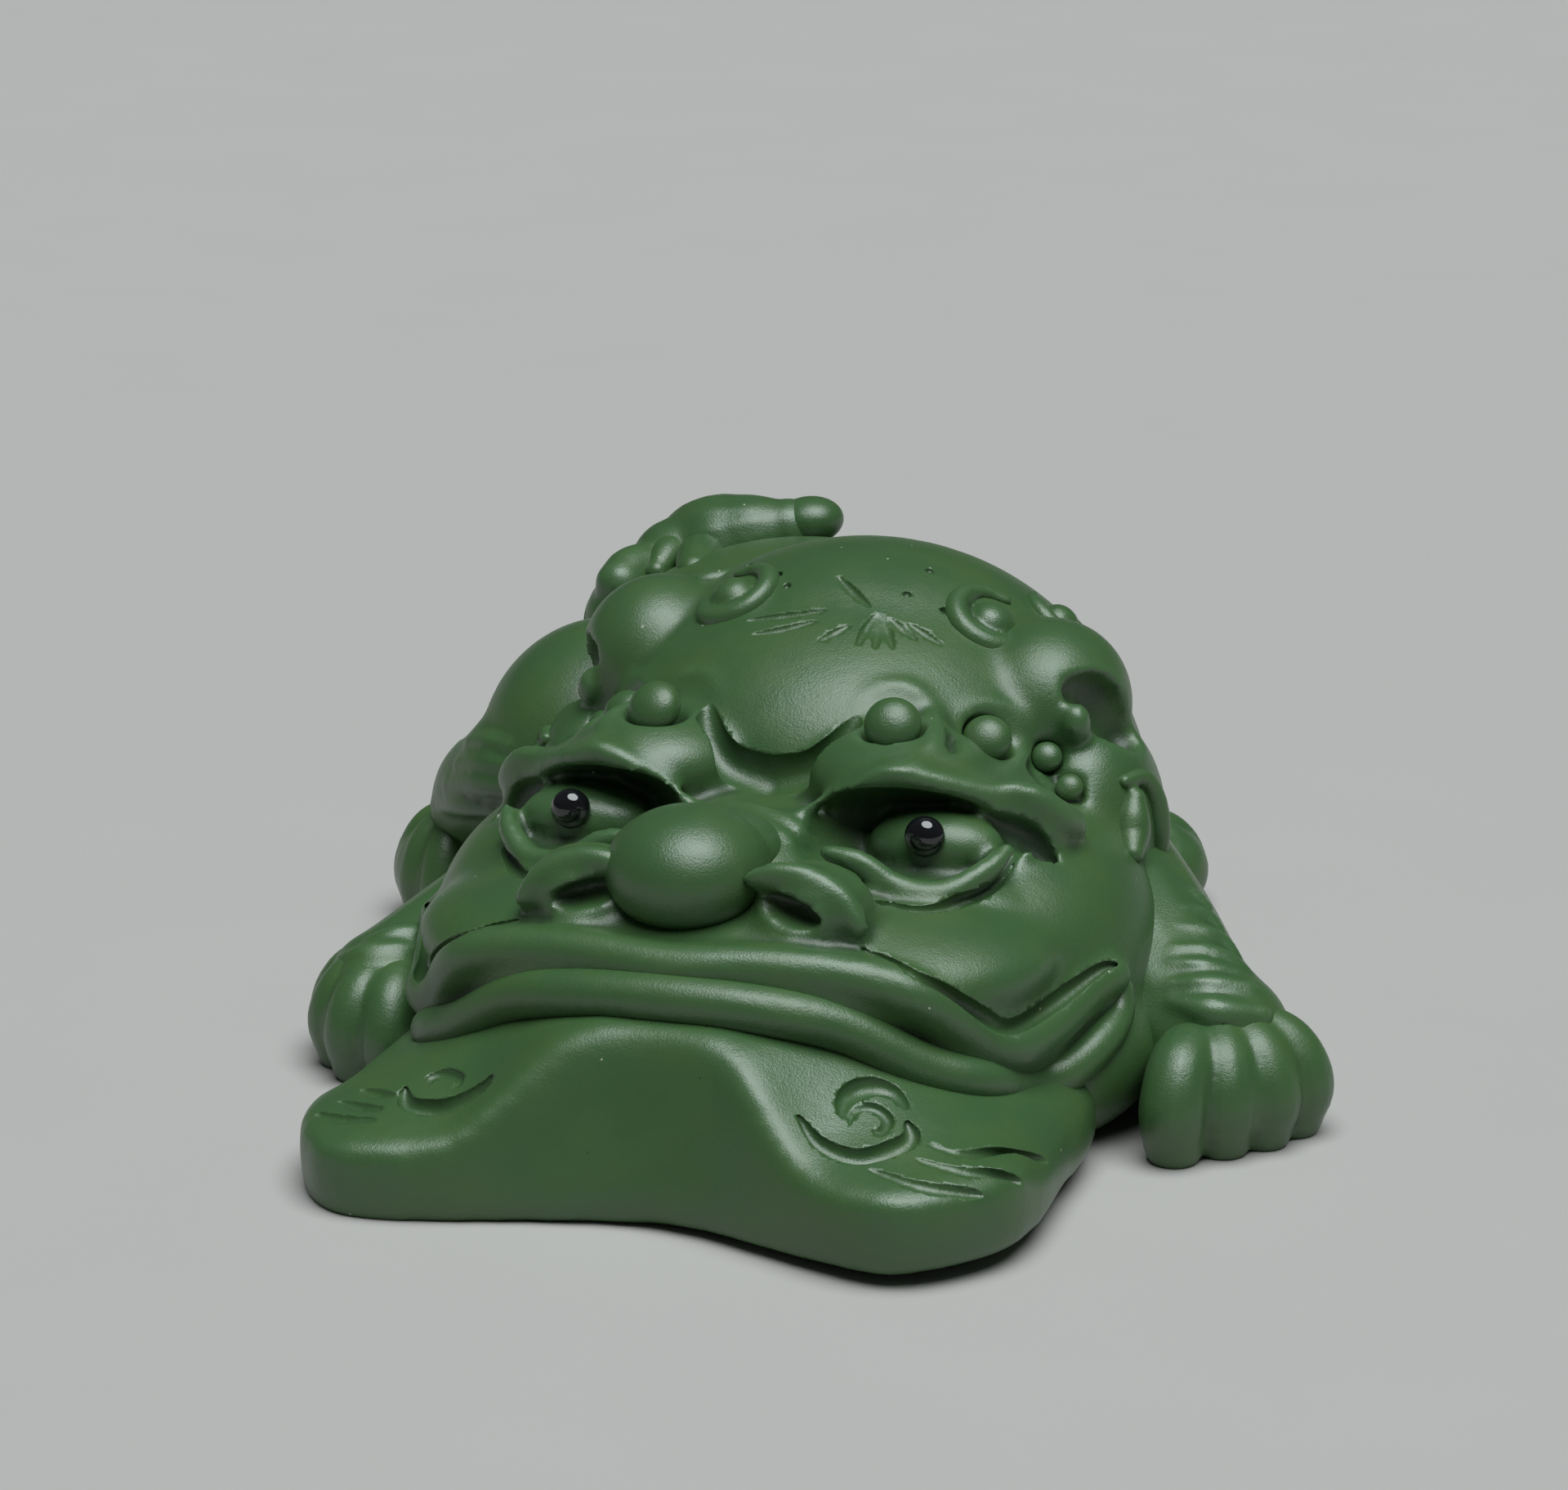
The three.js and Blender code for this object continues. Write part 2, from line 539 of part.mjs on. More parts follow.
// Hollow shells and the slab that closes them beneath
const torsoHollow = smallBall(hump, -WALL, shoulders).add(smallBall(rump, -WALL, hips));
const headHollow = smallBalls(hollowMasses, -WALL, head);
const rod = (width, length) => new THREE.CylinderGeometry(width / 2, width / 2, length, SMALL_AROUND);
const neckHole = rod(NECK_DIAMETER, HUMP_LENGTH / 2).translate(HUMP_X, HUMP_Y - HUMP_LENGTH / 2, BODY_AXIS_Z);
const neck = solidOf(neckHole);
const ventHole = rod(VENT_DIAMETER, 4 * SLAB_THICKNESS).rotateX(Math.PI / 2).translate(HUMP_X, HUMP_Y, 0);
const vent = solidOf(ventHole);
const earHollows = ears.map(({ centre, half }) => {
  const outside = centre.x + Math.sign(centre.x) * half.x;
  return smallBall(roundMass(outside, centre.y - EAR_HOLLOW_FORWARD, centre.z, EAR_HOLLOW), 0, head);
});
const smallSeats = bothSides((side) => [
  smallBall(pupilMass(side), SEAM, head),
  ...PELLET_X.map((_, i) => smallBall(pelletMass(side, i), SEAM, head)),
]).flat();

const haunchSeats = Object.keys(SIDES).map((name) => ball(haunchMass(name), SEAM, hips));
const slabBand = box(vector(-FAR, -FAR, 0), vector(FAR, FAR, SLAB_THICKNESS));
const slabForm = torsoForm(0).add(headForm(0)).intersect(slabBand);

place('torso_shell', cutBy(torsoForm(0), [torsoHollow, neck, shellFloor]));
place('belly_slab', cutBy(slabForm, [vent, beardSeat]));
const headCuts = [headHollow, torsoSeat, beardSeat, shellFloor, ...earHollows, ...smallSeats];
place('head_shell', cutBy(headForm(0), headCuts), head);
place('chin_beard', cutBy(beardForm(0), [floor]), head);

// Face
const upperSeat = lipForm(1, SEAM);
const lipSeat = upperSeat.add(lipForm(-1, SEAM));
const noseSeat = ball(noseMass, SEAM, head);
place('upper_lip', cutBy(lipForm(1), [headSeat, beardSeat]), head);
place('lower_lip', cutBy(lipForm(-1), [headSeat, beardSeat, upperSeat]), head);
place('nose_bulb', cutBy(ball(noseMass, 0, head), [headSeat, upperSeat]), head);
place('brow_band', cutBy(browForm(), [headSeat, noseSeat, ...smallSeats]), head);
const browSeat = browForm(SEAM);

for (const [name, side] of Object.entries(SIDES)) {
  const nostril = cutBy(smallBall(nostrilMass(side), 0, head), [smallBall(nostrilHollow(side), 0, head)]);
  place(`nostril_wing_${name}`, cutBy(nostril, [headSeat, noseSeat, upperSeat]), head);
  const nostrilSeat = smallBall(nostrilMass(side), SEAM, head);
  const eyelidCuts = [headSeat, noseSeat, nostrilSeat, browSeat, ...smallSeats];
  place(`lower_eyelid_${name}`, cutBy(eyelidForm(side), eyelidCuts), head);
  place(`pupil_bead_${name}`, cutBy(smallBall(pupilMass(side), 0, head), [browSeat]), head, BLACK_GLAZE);
  PELLET_X.forEach((_, i) => {
    place(`brow_pellet_${name}_${i + 1}`, smallBall(pelletMass(side, i), 0, head), head);
  });
  place(`beard_curl_${name}`, cutBy(beardCurlForm(side), [headSeat, beardSeat, lipSeat]), head);
}

// Legs, paws and curls of each side
for (const [name, side] of Object.entries(SIDES)) {
  const haunchSeat = ball(haunchMass(name), SEAM, hips);
  const legSeat = frontLegForm(name, SEAM);
  const legCuts = [torsoSeat, headSeat, haunchSeat, beardSeat, lipSeat, floor];
  place(`front_leg_${name}`, cutBy(frontLegForm(name), legCuts));
  const frontPaw = pawForm(
    side * FRONT_PAW_X[name], FRONT_PAW_Y, FRONT_PAW_WIDTH, FRONT_PAW_LENGTH, FRONT_PAW_HEIGHT,
    FRONT_TOE_WIDTH, side * FRONT_PAW_HEADING, shoulders,
  );
  place(`front_paw_${name}`, cutBy(frontPaw, [legSeat, headSeat, beardSeat, lipSeat, floor]));
  place(`hind_leg_${name}`, cutBy(ball(haunchMass(name), 0, hips), [torsoSeat, headSeat, floor]), hips);
  const hindPaw = pawForm(
    side * HIND_PAW_X[name], HIND_PAW_Y, HIND_PAW_WIDTH, HIND_PAW_LENGTH, HIND_PAW_HEIGHT,
    HIND_TOE_WIDTH, side * HIND_PAW_HEADING, hips,
  );
  place(`hind_paw_${name}`, cutBy(hindPaw, [haunchSeat, torsoSeat, floor]), hips);
  const sideCurl = smallBall(sideCurlMass(side), 0, head);
  place(`side_curl_${name}`, cutBy(sideCurl, [headSeat, torsoSeat, legSeat, haunchSeat]), head);
  MANE_CURL_X.forEach((_, i) => {
    const earlier = MANE_CURL_X.slice(0, i).map((_x, j) => smallBall(maneCurlMass(side, j), SEAM));
    const curl = smallBall(maneCurlMass(side, i), 0);
    place(`mane_curl_${name}_${i + 1}`, cutBy(curl, [torsoSeat, headSeat, haunchSeat, ...earlier]));
  });
}

// Tail
const tailSeat = tailForm(SEAM);
const tailTipSeat = smallBall(tailTipMass, SEAM, hips);
place('tail_plume', cutBy(tailForm(), [torsoSeat, ...haunchSeats]), hips);
place('tail_tip', cutBy(smallBall(tailTipMass, 0, hips), [torsoSeat, tailSeat]), hips);
for (const i of [0, 1]) {
  const earlier = [...Array(i).keys()].map((j) => smallBall(tailCurlMass(j), SEAM, hips));
  const curl = smallBall(tailCurlMass(i), 0, hips);
  const curlCuts = [torsoSeat, tailSeat, tailTipSeat, ...haunchSeats, ...earlier];
  place(`tail_curl_${i + 1}`, cutBy(curl, curlCuts), hips);
}

// The origin is under the middle of the figure, on the table
const bounds = new THREE.Box3().setFromObject(figure, true);
const middle = bounds.getCenter(vector(0, 0, 0));
figure.position.set(-middle.x, -middle.y, -bounds.min.z);

export default figure;
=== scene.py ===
"""Looks of a recumbent guardian beast, a hand-built ornament of green clay for the tea table.

Every piece is worked in millimetres in the figure's own axes, with the face towards -Y and +Z up,
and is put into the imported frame, in metres, when it is published. Places that were read from the
photograph are written as its pixels, and the photograph's camera lays them on the clay.
"""

import logging
import math
from collections.abc import Sequence
from dataclasses import dataclass, field
from enum import Enum

import bmesh
import bpy
import numpy as np
from mathutils import Euler, Matrix, Vector
from mathutils.bvhtree import BVHTree

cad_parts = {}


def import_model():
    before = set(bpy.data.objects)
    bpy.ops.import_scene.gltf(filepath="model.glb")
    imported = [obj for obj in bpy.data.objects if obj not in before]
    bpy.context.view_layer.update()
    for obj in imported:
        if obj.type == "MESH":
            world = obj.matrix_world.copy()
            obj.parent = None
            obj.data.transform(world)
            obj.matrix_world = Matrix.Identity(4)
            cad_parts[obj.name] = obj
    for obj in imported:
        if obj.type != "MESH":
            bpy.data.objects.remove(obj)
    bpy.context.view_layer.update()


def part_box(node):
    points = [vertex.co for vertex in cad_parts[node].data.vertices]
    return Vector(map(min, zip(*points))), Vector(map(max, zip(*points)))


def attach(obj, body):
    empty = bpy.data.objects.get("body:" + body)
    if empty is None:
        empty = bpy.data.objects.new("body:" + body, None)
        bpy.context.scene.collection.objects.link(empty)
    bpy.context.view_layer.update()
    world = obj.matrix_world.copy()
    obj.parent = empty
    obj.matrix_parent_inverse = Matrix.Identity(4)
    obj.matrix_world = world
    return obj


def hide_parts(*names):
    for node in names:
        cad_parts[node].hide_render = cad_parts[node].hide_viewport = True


log = logging.getLogger("beast")

MM = 0.001
HOLLOW = "hollow"

Point = tuple[float, float, float]
Pixel = tuple[float, float]
Spot = tuple[float, float]
Colour = tuple[float, float, float, float]
Run = tuple[np.ndarray, np.ndarray]
HairRoll = tuple[tuple[Pixel, ...], float]


class Slot(Enum):
    """Finishes that the record names."""

    GREEN_CLAY = "green_clay"
    BLACK_GLAZE = "black_glaze"


class Side(Enum):
    """The figure's own sides: its left is +X, on the right of the picture."""

    LEFT = 1
    RIGHT = -1

    @property
    def word(self) -> str:
        """The side's name as the nodes spell it."""
        return self.name.lower()


class Axes(Enum):
    """The axes that a shape is given in."""

    FIGURE = "figure"
    HEAD = "head"
    HIPS = "hips"


class Profile(Enum):
    """The cross-section of a modelling stroke, as the power that bends its round arch."""

    ROUND = 2.0
    ROLL = 0.5

    def shape(self, share: np.ndarray) -> np.ndarray:
        """The depth, from 1 in the middle of a stroke to 0 at its edge, where the share is 1."""
        return np.clip(1.0 - share**2, 0.0, 1.0) ** self.value


@dataclass(frozen=True)
class Stance:
    """How the figure lies: the head turned and tipped, the hips swung the other way."""

    head_yaw: float = -6.0
    head_roll: float = -2.0
    hips_yaw: float = 17.0
    hips_x: float = -9.0
    hips_y: float = 36.0

    def matrix(self, axes: Axes) -> Matrix:
        """The turn and place of a part of the figure.

        Args:
            axes: which part's axes.

        Returns:
            A matrix from those axes to the figure's own.
        """
        if axes is Axes.HEAD:
            yaw = Matrix.Rotation(math.radians(self.head_yaw), 4, "Z")
            return yaw @ Matrix.Rotation(math.radians(self.head_roll), 4, "Y")
        if axes is Axes.HIPS:
            place = Matrix.Translation((self.hips_x, self.hips_y, 0.0))
            return place @ Matrix.Rotation(math.radians(self.hips_yaw), 4, "Z")
        return Matrix.Identity(4)


STANCE = Stance()


@dataclass(frozen=True)
class PhotoView:
    """The photograph's camera, in millimetres in the figure's axes, with its picture in pixels."""

    width: int = 1919
    height: int = 1823
    focal: float = 6200.0
    place: Point = (90.93, -386.71, 154.81)
    yaw: float = 13.563
    pitch: float = 17.798
    sensor: float = 36.0
    nearest: float = 0.01
    pixels_per_mm: float = 15.5

    def turn(self) -> Euler:
        """The camera's turn as Blender's Euler angles."""
        return Euler((math.radians(90.0 - self.pitch), 0.0, math.radians(self.yaw)))

    def ray(self, pixel: Pixel) -> Vector:
        """The line of sight through a pixel.

        Args:
            pixel: a place in the picture.

        Returns:
            A unit vector away from the camera.
        """
        x, y = pixel
        sight = Vector((x - self.width / 2, self.height / 2 - y, -self.focal))
        return (self.turn().to_matrix() @ sight).normalized()

    def set_camera(self, shift: Vector) -> None:
        """Sets the scene's camera.

        Args:
            shift: the figure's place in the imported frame, in millimetres.
        """
        lens = bpy.data.cameras.new("photo_camera")
        lens.sensor_fit = "HORIZONTAL"
        lens.sensor_width = self.sensor
        lens.lens = self.focal / self.width * self.sensor
        lens.clip_start = self.nearest
        holder = bpy.data.objects.new("photo_camera", lens)
        holder.location = (Vector(self.place) + shift) * MM
        holder.rotation_euler = self.turn()
        bpy.context.scene.collection.objects.link(holder)
        bpy.context.scene.camera = holder


VIEW = PhotoView()


@dataclass(frozen=True)
class Ball:
    """A round mass of clay: its centre, its half sizes and its lean about x, y and z in degrees."""

    centre: Point
    half: Point
    lean: Point = (0.0, 0.0, 0.0)
    segments: int = 56
    rings: int = 32

    def mirrored(self) -> "Ball":
        """The same mass on the other side."""
        x, y, z = self.centre
        tip, roll, turn = self.lean
        return Ball((-x, y, z), self.half, (tip, -roll, -turn))

    def grown(self, by: float) -> "Ball":
        """The same mass, thicker all round."""
        a, b, c = self.half
        return Ball(self.centre, (a + by, b + by, c + by), self.lean)

    def pour(self, work: bmesh.types.BMesh, frame: Matrix) -> None:
        """Puts the mass into a mesh.

        Args:
            work: the mesh.
            frame: the axes that the mass is given in.
        """
        lean = Euler([math.radians(angle) for angle in self.lean]).to_matrix().to_4x4()
        shape = frame @ Matrix.Translation(self.centre) @ lean @ Matrix.Diagonal((*self.half, 1.0))
        small = bmesh.new()
        bmesh.ops.create_uvsphere(
            small, u_segments=self.segments, v_segments=self.rings, radius=1.0, matrix=shape
        )
        ball = bpy.data.meshes.new("ball")
        small.to_mesh(ball)
        small.free()
        work.from_mesh(ball)
        bpy.data.meshes.remove(ball)


@dataclass(frozen=True)
class Coil:
    """A rolled string of clay: the points that it runs through and its radius at each."""

    points: tuple[Point, ...]
    radii: tuple[float, ...]
    steps_per_knot: int = 8
    roundness: int = 5
    thinnest: float = 0.05

    def mirrored(self) -> "Coil":
        """The same coil on the other side."""
        return Coil(tuple((-x, y, z) for x, y, z in self.points), self.radii)

    def pour(self, work: bmesh.types.BMesh, frame: Matrix) -> None:
        """Puts the coil, with its round ends, into a mesh.

        Args:
            work: the mesh.
            frame: the axes that the coil is given in.
        """
        knots = np.column_stack([np.array(self.points, float), np.array(self.radii, float)])
        run = smooth_run(knots, self.steps_per_knot * len(knots))
        line = bpy.data.curves.new("coil", "CURVE")
        line.dimensions = "3D"
        line.bevel_depth = 1.0
        line.bevel_resolution = self.roundness
        line.use_fill_caps = True
        spline = line.splines.new("POLY")
        spline.points.add(len(run) - 1)
        for point, (x, y, z, radius) in zip(spline.points, run):
            point.co = (x, y, z, 1.0)
            point.radius = max(radius, self.thinnest)
        holder = bpy.data.objects.new("coil", line)
        tube = bpy.data.meshes.new_from_object(holder)
        tube.transform(frame)
        work.from_mesh(tube)
        bpy.data.meshes.remove(tube)
        bpy.data.objects.remove(holder)
        bpy.data.curves.remove(line)
        for x, y, z, radius in (run[0], run[-1]):
            Ball((x, y, z), (radius, radius, radius)).pour(work, frame)


@dataclass(frozen=True)
class Board:
    """A level block that is wider than the figure, between two heights, to cut with."""

    low: float
    high: float
    width: float = 180.0

    def pour(self, work: bmesh.types.BMesh, frame: Matrix) -> None:
        """Puts the block into a mesh.

        Args:
            work: the mesh.
            frame: the axes that the block is given in.
        """
        place = Matrix.Translation((0.0, 0.0, (self.low + self.high) / 2))
        size = Matrix.Diagonal((self.width, self.width, self.high - self.low, 1.0))
        bmesh.ops.create_cube(work, size=1.0, matrix=frame @ place @ size)


@dataclass(frozen=True)
class LaidCoil:
    """A coil to lay on the clay along a run of pixels, from end to end.

    Its radii are spread evenly over the run, and its middle sinks below the skin.
    """

    run: tuple[Pixel, ...]
    radii: tuple[float, ...]
    sink: float = 0.0

    def sized(self, middle: np.ndarray, along: np.ndarray) -> Coil:
        """The coil on points that are known.

        Args:
            middle: the points of its middle line, one a row.
            along: how far along the run each point lies, from 0 to 1.

        Returns:
            The coil, in the figure's axes.
        """
        sizes = np.interp(along, np.linspace(0.0, 1.0, len(self.radii)), self.radii)
        return Coil(tuple(map(tuple, middle)), tuple(sizes))

    def on(self, skin: BVHTree, mirror: bool = False) -> Coil:
        """The coil on a skin.

        Args:
            skin: the skin's search tree.
            mirror: whether the coil lies on the other side of the head.

        Returns:
            The coil, in the figure's axes.
        """
        places, facings = trace(self.run, skin, mirror=mirror)
        return self.sized(places - self.sink * facings, np.linspace(0.0, 1.0, len(places)))

    def pair(self, skin: BVHTree) -> tuple[Coil, Coil]:
        """The coil on a skin, and its mirror image."""
        return self.on(skin), self.on(skin, mirror=True)

    def across(self, skin: BVHTree) -> Coil:
        """The coil and its mirror image as one, joined at the middle of the head.

        Args:
            skin: the skin's search tree.

        Returns:
            The coil, in the figure's axes.
        """
        left, right = (np.array(coil.points) for coil in self.pair(skin))
        joint = (left[:1] + right[:1]) / 2
        middle = np.vstack([right[:0:-1], joint, left[1:]])
        return self.sized(middle, np.abs(np.linspace(-1.0, 1.0, len(middle))))


@dataclass(frozen=True)
class Stroke:
    """A line worked into the clay along a run of pixels or points.

    A run of pixels is laid on the clay along the photograph's lines of sight, and a run of points
    at the nearest places on the clay. A run of one knot is a dab. A line that is pressed has a
    depth below 0 where it sinks and above 0 where it stands proud. One that is cut has a depth
    above 0.
    """

    run: tuple[tuple[float, ...], ...]
    half_width: float
    depth: float
    profile: Profile = Profile.ROUND
    taper: float = 0.25
    both_sides: bool = False
    axes: Axes = Axes.HEAD
    pressed_steps: int = 6
    cut_steps: int = 5
    end_width: float = 0.35
    thinnest: float = 0.12
    turned_away: float = -0.1

    def laid(self, tree: BVHTree) -> list[Run]:
        """Lays the run, and its mirror image where it has one, on a skin.

        Args:
            tree: the skin's search tree.

        Returns:
            The places and the outward directions of each run that meets the clay.
        """
        mirrors = (False, True) if self.both_sides else (False,)
        runs = [trace(self.run, tree, self.axes, mirror) for mirror in mirrors]
        met = [run for run in runs if len(run[0])]
        if len(met) < len(runs):
            log.warning("a stroke misses the clay at %s", self.run[0])
        return met

    def fullness(self, along: np.ndarray) -> np.ndarray:
        """How full the stroke is along its run, from 0 at its ends to 1 past its taper."""
        return np.sqrt(np.clip(np.minimum(along, 1.0 - along) / self.taper, 0.0, 1.0))

    def moves(self, run: Run, spots: np.ndarray, normals: np.ndarray) -> Run:
        """How far the stroke moves a skin when it is pressed.

        Args:
            run: its places on the skin and the outward directions there.
            spots: the skin's points.
            normals: the skin's outward directions.

        Returns:
            The points that the stroke reaches, and how far each moves outwards.
        """
        path, facing = (smooth_run(part, self.pressed_steps * len(part)) for part in run)
        low, high = path.min(0) - self.half_width, path.max(0) + self.half_width
        near = np.where(np.all((spots > low) & (spots < high), axis=1))[0]
        far, along, leg = nearest_on_run(spots[near], path)
        full = self.fullness(along)
        width = self.half_width * (self.end_width + (1.0 - self.end_width) * full)
        faces_it = np.einsum("ij,ij->i", normals[near], facing[leg]) > self.turned_away
        return near, self.depth * full * self.profile.shape(far / width) * faces_it

    def cutter(self, run: Run) -> Ball | Coil:
        """The round body that cuts the stroke as a crisp line.

        Args:
            run: its places on the skin and the outward directions there.

        Returns:
            The body, in the figure's axes.
        """
        places, facings = run
        radius = (self.half_width**2 + self.depth**2) / (2 * self.depth)
        middle = places + facings * (radius - self.depth)
        if len(middle) == 1:
            return Ball(tuple(middle[0]), (radius, radius, radius))
        path = smooth_run(middle, self.cut_steps * len(middle))
        full = self.fullness(np.linspace(0.0, 1.0, len(path)))
        sizes = np.maximum(radius - (1.0 - full) * min(radius, self.depth), self.thinnest)
        return Coil(tuple(map(tuple, path)), tuple(sizes))


def soft_step(value: np.ndarray, start: float, end: float | np.ndarray) -> np.ndarray:
    """A soft rise, from 0 where a value is at the start to 1 where it is at the end."""
    share = np.clip((value - start) / (end - start), 0.0, 1.0)
    return share * share * (3.0 - 2.0 * share)


def smooth_run(knots: np.ndarray, steps: int) -> np.ndarray:
    """Points along a smooth curve.

    Args:
        knots: the points that the curve runs through, one a row.
        steps: how many points to give.

    Returns:
        The points, one a row.
    """
    if len(knots) < 2:
        return knots
    ends = 2 * knots[0] - knots[1], 2 * knots[-1] - knots[-2]
    padded = np.vstack([ends[0], knots, ends[1]])
    spots = np.linspace(0.0, len(knots) - 1.0, steps)
    first = np.minimum(spots.astype(int), len(knots) - 2)
    t = (spots - first)[:, None]
    a, b, c, d = (padded[first + i] for i in range(4))
    slope, bend, twist = c - a, 2 * a - 5 * b + 4 * c - d, 3 * (b - c) + d - a
    return 0.5 * (2 * b + slope * t + bend * t**2 + twist * t**3)


def spiral_run(outer: float, inner: float, start: float, end: float, steps: int) -> list[Spot]:
    """A flat spiral, or an arc, about the origin.

    Args:
        outer: the radius at its start.
        inner: the radius at its end.
        start: the angle of its start in degrees.
        end: the angle of its end.
        steps: how many points to give.

    Returns:
        The points.
    """
    run = []
    for share in np.linspace(0.0, 1.0, steps):
        angle = math.radians(start + (end - start) * share)
        radius = outer + (inner - outer) * share
        run.append((radius * math.cos(angle), radius * math.sin(angle)))
    return run


def nearest_on_run(spots: np.ndarray, run: np.ndarray) -> tuple[np.ndarray, np.ndarray, np.ndarray]:
    """Where points lie beside a run of straight pieces.

    Args:
        spots: the points, one a row.
        run: the run's corners, one a row.

    Returns:
        Each point's distance, how far along the run its nearest place is, from 0 to 1, and the
        straight piece that this place is on.
    """
    if len(run) == 1:
        far = np.linalg.norm(spots - run[0], axis=1)
        return far, np.full(len(spots), 0.5), np.zeros(len(spots), int)
    best = np.full(len(spots), np.inf)
    along = np.zeros(len(spots))
    leg_of = np.zeros(len(spots), int)
    for i, (start, end) in enumerate(zip(run[:-1], run[1:])):
        leg = end - start
        share = np.clip((spots - start) @ leg / max(float(leg @ leg), 1e-12), 0.0, 1.0)
        far = np.linalg.norm(spots - start - share[:, None] * leg, axis=1)
        closer = far < best
        best[closer] = far[closer]
        along[closer] = (i + share[closer]) / (len(run) - 1)
        leg_of[closer] = i
    return best, along, leg_of


def trace(
    run: Sequence[Sequence[float]], tree: BVHTree, axes: Axes = Axes.HEAD, mirror: bool = False
) -> Run:
    """Lays a run of pixels or points on a skin.

    Args:
        run: pixels of the photograph, or points.
        tree: the skin's search tree.
        axes: the axes of the points.
        mirror: whether the run is laid on the other side of the head.

    Returns:
        The places on the skin and its outward directions there, one a row; pixels that miss the
        skin are left out.
    """
    frame, head = STANCE.matrix(axes), STANCE.matrix(Axes.HEAD)
    places, facings = [], []
    for knot in run:
        if len(knot) == 2:
            hit = tree.ray_cast(Vector(VIEW.place), VIEW.ray(knot))
        else:
            hit = tree.find_nearest(frame @ Vector(knot))
        if hit[0] is None:
            continue
        if mirror:
            x, y, z = head.inverted() @ hit[0]
            hit = tree.find_nearest(head @ Vector((-x, y, z)))
        places.append(tuple(hit[0]))
        facings.append(tuple(hit[1]))
    return np.array(places, float).reshape(-1, 3), np.array(facings, float).reshape(-1, 3)


def seat_matrix(place: np.ndarray, facing: Sequence[float], turn: float = 0.0) -> Matrix:
    """Puts a shape that was worked flat on the origin onto a skin.

    Args:
        place: where it sits.
        facing: the skin's outward direction there.
        turn: its turn about that direction in degrees.

    Returns:
        The matrix.
    """
    up = Vector(facing).normalized()
    right = Vector((0.0, 1.0, 0.0)).cross(up).normalized()
    frame = Matrix((right, up.cross(right), up)).transposed().to_4x4()
    return Matrix.Translation(Vector(place)) @ frame @ Matrix.Rotation(math.radians(turn), 4, "Z")


